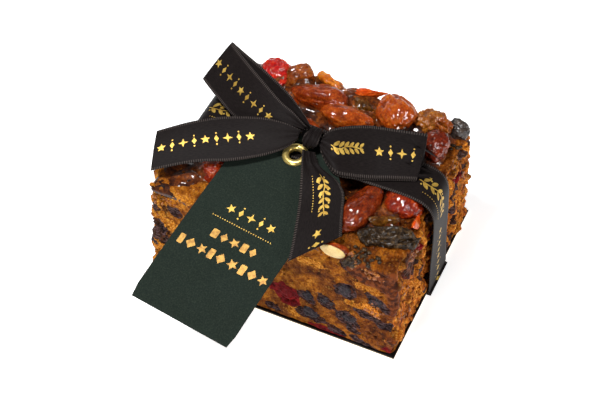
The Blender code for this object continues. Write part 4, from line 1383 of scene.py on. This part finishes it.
def star_shape(angle, tips=5, waist=0.45):
    """Radius of a star at an angle: straight lines between tips at 1 and waists."""
    turn = (angle * tips / TAU) % 1.0
    share = np.abs(turn * 2 - 1)
    tip = np.array([1.0, 0.0])
    notch = waist * np.array([math.cos(math.pi / tips), math.sin(math.pi / tips)])
    local = (1 - share) * math.pi / tips
    normal = np.array([notch[1], tip[0] - notch[0]])
    reach = (tip @ normal) / (np.cos(local) * normal[0] + np.sin(local) * normal[1])
    return reach


def flat_blob(shape, centre, size, turn=0.0, columns=40):
    """A filled flat shape: rings shrunk towards its middle, in (u, v) mm, and its faces."""
    angle = np.linspace(0, TAU, columns, endpoint=False)
    radius = shape(angle)
    share = np.array([0.02, 0.5, 1.0])[:, None]
    u = share * radius * np.cos(angle + turn) * size[0] / 2 + centre[0]
    v = share * radius * np.sin(angle + turn) * size[1] / 2 + centre[1]
    points = np.stack([u, v], axis=-1).reshape(-1, 2)
    points = np.concatenate([points, [list(centre)]])
    faces = grid_faces(3, columns, wrap=True).tolist()
    ring = np.arange(columns)
    cap = np.stack([np.full(columns, 3 * columns), np.roll(ring, -1), ring], axis=1)
    return points, [*faces, *cap.tolist()]


def flat_stroke(path, width, count=40):
    """A line of foil: a smooth path with a half width to each side that narrows at the ends."""
    line = smooth_path(np.asarray(path, float), count)
    along = unit(np.gradient(line, axis=0))
    beside = np.stack([-along[:, 1], along[:, 0]], axis=1)
    place = np.linspace(0, 1, count)
    half = width / 2 * np.clip(4 * np.sqrt(place * (1 - place)) + 0.15, 0, 1)
    grid = line[:, None] + beside[:, None] * (half[:, None] * np.array([-1, 0, 1]))[..., None]
    return grid.reshape(-1, 2), grid_faces(count, 3).tolist()


def diamond(angle):
    """Radius of a square on its point with slightly hollow sides."""
    return 1 / (np.abs(np.cos(angle)) ** 0.9 + np.abs(np.sin(angle)) ** 0.9)


def leaf(angle):
    """Radius of a pointed leaf, long along u."""
    return 1 / np.sqrt(np.cos(angle) ** 2 + (np.abs(np.sin(angle)) * 2.6) ** 1.7)


def disc(angle):
    return np.ones_like(angle)


def bar(angle):
    """Radius of a rounded rectangle."""
    return (np.abs(np.cos(angle)) ** 8 + np.abs(np.sin(angle)) ** 8) ** (-1 / 8)


def joined_flat(parts):
    start = 0
    points, faces = [], []
    for some_points, some_faces in parts:
        points.append(some_points)
        faces += [[corner + start for corner in face] for face in some_faces]
        start += len(some_points)
    return np.concatenate(points), faces


def sprig(length, height):
    """A sprig along +v from 0: a waving stem with pairs of leaves and small berries."""
    stem = [(0.0, 0.0), (0.12 * height, 0.25 * length), (-0.1 * height, 0.55 * length), (0.08 * height, length)]
    parts = [flat_stroke(stem, 0.5)]
    pairs = 6
    for number in range(pairs):
        place = (number + 0.7) / (pairs + 0.3) * length
        size = height * (0.62 - 0.04 * number)
        for side in (-1, 1):
            centre = (side * size * 0.42, place + 0.25 * size)
            turn = math.radians(90 - side * 48)
            parts.append(flat_blob(leaf, centre, (size, size), turn, 28))
        parts.append(flat_blob(disc, (0.30 * height * (-1) ** number, place - 0.9), (0.9, 0.9), 0, 14))
    return joined_flat(parts)


def small_row(length, pitch=1.25, size=0.75):
    """A line of tiny dots and dashes along +v from 0."""
    parts = []
    for number in range(int(length / pitch)):
        shape = (0.55, 0.95) if number % 3 else (0.8, 0.5)
        parts.append(flat_blob(diamond, (0.0, number * pitch), (size * shape[0] * 1.5, size * shape[1] * 1.2), 0, 12))
    return joined_flat(parts)


def star_row(count, pitch, height):
    """A row of stars, diamonds and dots along +v from 0, like a line of capitals in size."""
    parts = []
    for number in range(count):
        centre = (0.0, number * pitch)
        kind = number % 4
        if kind == 0:
            parts.append(flat_blob(star_shape, centre, (height, height), math.pi, 40))
        elif kind == 2:
            parts.append(flat_blob(lambda angle: star_shape(angle, 4, 0.34), centre, (height * 1.05, height * 1.05), 0, 48))
        else:
            parts.append(flat_blob(diamond, centre, (height * 0.8, height * 0.5), 0, 32))
            parts.append(flat_blob(disc, (height * 0.62, number * pitch), (0.8, 0.8), 0, 14))
            parts.append(flat_blob(disc, (-height * 0.62, number * pitch), (0.8, 0.8), 0, 14))
    return joined_flat(parts)


def bold_row(widths, height, gap=1.3):
    """A row along +v of bold bars, lozenges and stars of the given widths, from the middle out."""
    parts = []
    start = -(sum(widths) + gap * (len(widths) - 1)) / 2
    for number, width in enumerate(widths):
        centre = (0.0, start + width / 2)
        if number % 3 == 0:
            parts.append(flat_blob(bar, centre, (height, width), 0, 48))
        elif number % 3 == 1:
            parts.append(flat_blob(diamond, centre, (height * 1.08, width * 1.05), 0, 32))
        else:
            parts.append(flat_blob(star_shape, centre, (height * 1.1, width * 1.2), math.pi, 40))
        start += width + gap
    return joined_flat(parts)


def moved(part, across, along):
    """A flat part moved to a place across and along the ribbon."""
    points, faces = part
    return points + [across, along], faces


def turned_flat(part, across, along):
    """A flat part that ran along v, now along u, moved to its place."""
    points, faces = part
    return points[:, ::-1] * [1, -1] + [across, along], faces


def on_grid(grid, flat, points, lift):
    """Points of a flat pattern carried onto a ribbon: bilinear between the grid's points, lifted."""
    u = points[:, 0] / flat[0, -1, 0] * (grid.shape[1] - 1)
    v = np.interp(points[:, 1], flat[:, 0, 1], np.arange(grid.shape[0]))
    u = np.clip(u, 0, grid.shape[1] - 1.001)
    v = np.clip(v, 0, grid.shape[0] - 1.001)
    column, row = u.astype(int), v.astype(int)
    s, t = (u - column)[:, None], (v - row)[:, None]
    normal = outer_normals(grid)

    def blend(field):
        near = field[row, column] * (1 - s) + field[row, column + 1] * s
        far = field[row + 1, column] * (1 - s) + field[row + 1, column + 1] * s
        return near * (1 - t) + far * t

    return blend(grid) + unit(blend(normal)) * lift


def print_foil(name, grid, flat, parts, material, lift=RIBBON_THICK / 2 + 0.03):
    """Foil shapes on the upper face of a ribbon or the tag."""
    points, faces = joined_flat(parts)
    inside = (points[:, 1] > flat[0, 0, 1] - 0.01) & (points[:, 1] < flat[-1, 0, 1] + 0.01)
    keep = [face for face in faces if all(inside[corner] for corner in face)]
    place = on_grid(grid, flat, points, lift)
    used = sorted({corner for face in keep for corner in face})
    renumber = {corner: number for number, corner in enumerate(used)}
    keep = [[renumber[corner] for corner in face] for face in keep]
    return make_piece(name, place[used], keep, material, smooth=False)


# ---------------------------------------------------------------- stage


def area_light(name, place, aim, size, power, colour=(1, 1, 1)):
    """A soft rectangular light at a place in mm, turned to its aim."""
    light = bpy.data.lights.new(name, "AREA")
    light.shape = "RECTANGLE"
    light.size, light.size_y = (side * MM for side in size)
    light.energy = power
    light.color = colour
    lamp = bpy.data.objects.new(name, light)
    bpy.context.scene.collection.objects.link(lamp)
    lamp.location = Vector(place) * MM
    lamp.rotation_euler = (Vector(aim) * MM - lamp.location).to_track_quat("-Z", "Y").to_euler()


def make_stage():
    """A pale floor, a bright even surround and three soft lights."""
    points = np.array([[-1, -1, 0], [1, -1, 0], [1, 1, 0], [-1, 1, 0]]) * 3000.0
    mesh = bpy.data.meshes.new("floor")
    mesh.from_pydata((points * MM).tolist(), [], [[0, 1, 2, 3]])
    material, _, shader = new_material("floor_white", srgb(250, 250, 250), 0.9, Specular_IOR_Level=0.1)
    shader.inputs["Emission Color"].default_value = (1, 1, 1, 1)
    shader.inputs["Emission Strength"].default_value = 0.62
    mesh.materials.append(material)
    floor = bpy.data.objects.new("floor", mesh)
    bpy.context.scene.collection.objects.link(floor)
    world = bpy.data.worlds.new("surround")
    world.use_nodes = True
    background = world.node_tree.nodes["Background"]
    background.inputs["Color"].default_value = (1, 1, 1, 1)
    background.inputs["Strength"].default_value = 0.12
    bpy.context.scene.world = world
    area_light("key_above", (-140, -120, 660), (0, 0, 40), (92, 78), 3.7)
    area_light("fill_front", (-60, -640, 330), (0, 0, 30), (140, 90), 1.5)
    area_light("fill_right", (600, -80, 330), (0, 0, 30), (110, 150), 1.8)
    area_light("sheen_back", (-260, 560, 420), (0, 0, 40), (300, 120), 0.22)


def make_camera():
    """The camera at its azimuth, elevation, roll and distance from its aim."""
    data = bpy.data.cameras.new("camera")
    data.lens = VIEW_LENS
    data.clip_start = 0.01
    camera = bpy.data.objects.new("camera", data)
    bpy.context.scene.collection.objects.link(camera)
    flat = math.cos(VIEW_ELEVATION)
    back = Vector((math.sin(VIEW_AZIMUTH) * flat, -math.cos(VIEW_AZIMUTH) * flat, math.sin(VIEW_ELEVATION)))
    turn = (-back).to_track_quat("-Z", "Y").to_matrix().to_4x4()
    place = Matrix.Translation(Vector(VIEW_AIM * MM) + back * VIEW_DISTANCE * MM)
    camera.matrix_world = place @ turn @ Matrix.Rotation(VIEW_ROLL, 4, "Z")
    bpy.context.scene.camera = camera


# ---------------------------------------------------------------- build


def build():
    bpy.context.scene.view_settings.view_transform = "Standard"
    make_camera()
    make_stage()

    grain, weave = group_grain(), group_satin()
    cake = cake_material(grain)
    fruit_colours = {
        "almond": ((54, 12, 4), (146, 52, 12), (204, 100, 28), 0.32, 0.07, 0.15),
        "cherry": ((60, 8, 3), (138, 36, 9), (206, 84, 20), 0.36, 0.07, 0.15),
        "bright": ((116, 8, 8), (200, 26, 16), (236, 92, 44), 0.3, 0.08, 0.25),
        "raisin": ((16, 9, 8), (44, 27, 22), (84, 56, 42), 0.4, 0.16, 0.0),
        "peel": ((128, 50, 8), (206, 106, 18), (238, 162, 50), 0.3, 0.08, 0.25),
        "orange": ((136, 32, 6), (216, 78, 14), (242, 138, 48), 0.3, 0.07, 0.25),
        "olive": ((28, 14, 5), (90, 50, 12), (150, 98, 30), 0.3, 0.05, 0.15),
        "date": ((80, 22, 6), (178, 74, 16), (226, 126, 40), 0.34, 0.06, 0.25),
        "dark_cherry": ((38, 8, 3), (112, 32, 10), (176, 74, 22), 0.36, 0.08, 0.05),
        "dark_date": ((44, 10, 3), (118, 38, 10), (180, 78, 22), 0.34, 0.06, 0.15),
        "corner": ((22, 18, 17), (56, 48, 44), (104, 88, 74), 0.3, 0.2, 0.0),
        "brown": ((58, 20, 6), (146, 66, 16), (210, 124, 44), 0.4, 0.1, 0.15),
        "lump": ((80, 36, 10), (166, 92, 24), (224, 150, 54), 0.6, 0.3, 0.1),
        "flesh": ((196, 158, 96), (226, 196, 130), (240, 216, 158), 0.1, 0.35, 0.2),
    }
    looks = {}
    for key, (dark, light, bright, wrinkle, gloss, under) in fruit_colours.items():
        colours = [srgb(*colour) for colour in (dark, light, bright)]
        looks[key] = glazed_fruit("fruit_" + key, *colours, grain, wrinkle, gloss, under)
    looks["burnt"] = glazed_fruit(
        "fruit_burnt", srgb(10, 7, 5), srgb(50, 36, 24), srgb(118, 88, 50), grain, 0.6, 0.25, 0.0, 0.5, 0.4
    )
    looks["cherry_cut"] = glazed_fruit(
        "cherry_cut", srgb(72, 9, 13), srgb(108, 16, 20), srgb(130, 28, 26), grain, 0.3, 0.4, 0.0, 0.3, 0.1
    )
    looks["raisin_cut"] = glazed_fruit(
        "raisin_cut", srgb(12, 8, 11), srgb(38, 28, 34), srgb(84, 68, 74), grain, 0.5, 0.3, 0.0, 0.5, 0.3
    )
    satin = satin_material("satin_bow", weave, srgb(21, 17, 17), srgb(31, 26, 25))
    foil = foil_material("foil_gold", srgb(184, 144, 58), srgb(216, 180, 84))
    copper = foil_material("foil_copper", srgb(138, 98, 42), srgb(186, 144, 70))

    fruits = fruit_frames()
    skin = make_cake(cake)
    make_glaze(fruits, glaze_material(grain))
    make_bits(skin, looks["lump"], looks["burnt"])
    finishes = {
        "almond": ("almond", "almond", "almond"),
        "cherry": ("cherry", "cherry", "cherry"),
        "raisin": ("raisin", "raisin", "raisin"),
        "prune": ("raisin", "olive", "raisin"),
        "peel": ("peel", "peel", "peel"),
        "date": ("date", "date", "date"),
        "crumb": ("lump", "lump", "crumb"),
        "face": ("raisin", "raisin_cut", "raisin"),
    }
    special = {
        "cherry_back_left": ("cherry", "bright", "cherry"),
        "almond_middle": ("almond", "date", "almond"),
        "peel_olive": ("curl", "olive", "peel"),
        "peel_strip_right": ("curl", "orange", "peel"),
        "peel_back_sliver": ("sliver", "orange", "peel"),
        "peel_back_brown": ("peel", "brown", "peel"),
        "raisin_burnt": ("burnt", "burnt", "raisin"),
        "raisin_front": ("raisin", "burnt", "raisin"),
        "raisin_centre": ("raisin", "date", "raisin"),
        "raisin_corner": ("cherry", "corner", "raisin"),
        "peel_corner": ("lump", "brown", "crumb"),
        "date_front": ("date", "dark_date", "date"),
        "face_cherry": ("cherry", "cherry_cut", "cherry"),
        "cherry_right": ("cherry", "dark_cherry", "cherry"),
    }
    for name, place in fruits.items():
        if name == "almond_cut":
            make_cut_almond(place, looks["almond"], looks["flesh"])
            continue
        kind, look, slot = special.get(name) or finishes[name.split("_")[0]]
        squeeze = (1, 1, 1) if name.startswith("face") else (1.14, 1.2, 1.06)
        if kind == "sliver":
            squeeze = (1.1, 2.2, 2.4)
        if name == "raisin_corner":
            squeeze = (1.4, 1.4, 1.2)
        flipped = name in ("date_front", "date_back_right")
        make_fruit("skin_" + name, kind, place, looks[look], name, squeeze, flipped)

    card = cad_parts["card_base"]
    card.data.materials.clear()
    card.data.materials.append(black_card_material())

    right, right_flat = ribbon_grid(folded_back(RIGHT_LOOP, RIGHT_LOOP_OPENING), 180, 25, 0.7, 0.5, True)
    make_ribbon("bow_loop_right", right, right_flat, satin, "ribbon_loop_right")
    left, left_flat = ribbon_grid(left_loop_pairs(), 180, 25, 0.3, 0.5, True)
    make_ribbon("bow_loop_left", left, left_flat, satin, "ribbon_loop_left")
    tail, tail_flat = ribbon_grid(LEFT_TAIL, 110, 25, 0.8, 0.3)
    make_ribbon("bow_tail_left", tail, tail_flat, satin, "ribbon_tail_left")
    front, front_flat = ribbon_grid(FRONT_TAIL, 110, 25, 0.3, 0.6)
    make_ribbon("bow_tail_front", front, front_flat, satin, "ribbon_tail_front")
    band, band_flat = band_grid(420, 17)
    make_ribbon("tie_band", band, band_flat, satin, "ribbon_band")
    make_knot(satin)

    make_tag(tag_material())
    sheet, sheet_flat = tag_grid()
    centre = TAG_WIDTH / 2 + 1.0
    print_foil("foil_tag_upper", sheet, sheet_flat, [
        turned_flat(star_row(5, 5.2, 4.6), centre - 10.4, 47.0),
        turned_flat(small_row(32.0), centre - 16.0, 53.0),
    ], foil, TAG_THICK / 2 + 0.04)
    print_foil("foil_tag_lower", sheet, sheet_flat, [
        turned_flat(bold_row([3.4, 3.6, 4.6, 3.0, 3.4], 4.2), centre, 60.5),
        turned_flat(bold_row([2.6, 4.8, 4.4, 2.8, 4.6, 4.8, 3.0, 4.4, 4.2], 4.8), centre, 69.5),
    ], copper, TAG_THICK / 2 + 0.04)
    make_eyelet(brass_material())

    middle = RIBBON_WIDTH / 2
    print_foil("foil_loop_right", right, right_flat, [
        moved(star_row(7, 5.0, 4.4), middle, 27.0),
        moved(sprig(15.0, 6.5), middle - 1.0, 5.0),
    ], foil)
    print_foil("foil_loop_left", left, left_flat, [moved(star_row(10, 5.0, 4.4), middle, 18.0)], foil)
    print_foil("foil_tail_left", tail, tail_flat, [moved(star_row(9, 5.0, 4.4), middle, 22.0)], foil)
    print_foil("foil_tail_front", front, front_flat, [
        moved(sprig(22.0, 7.0), middle + 1.5, 12.0),
        moved(small_row(18.0), middle - 4.0, 14.0),
        moved(star_row(3, 5.0, 4.4), middle, 42.0),
    ], foil)
    print_foil("foil_band", band, band_flat, [
        moved(sprig(24.0, 7.0), middle - 1.0, 50.0),
        moved(small_row(18.0), middle + 5.0, 54.0),
        moved(star_row(9, 5.0, 4.4), middle, 84.0),
        moved(sprig(24.0, 7.0), middle - 1.0, 318.0),
        moved(small_row(18.0), middle + 5.0, 322.0),
    ], foil)


build()
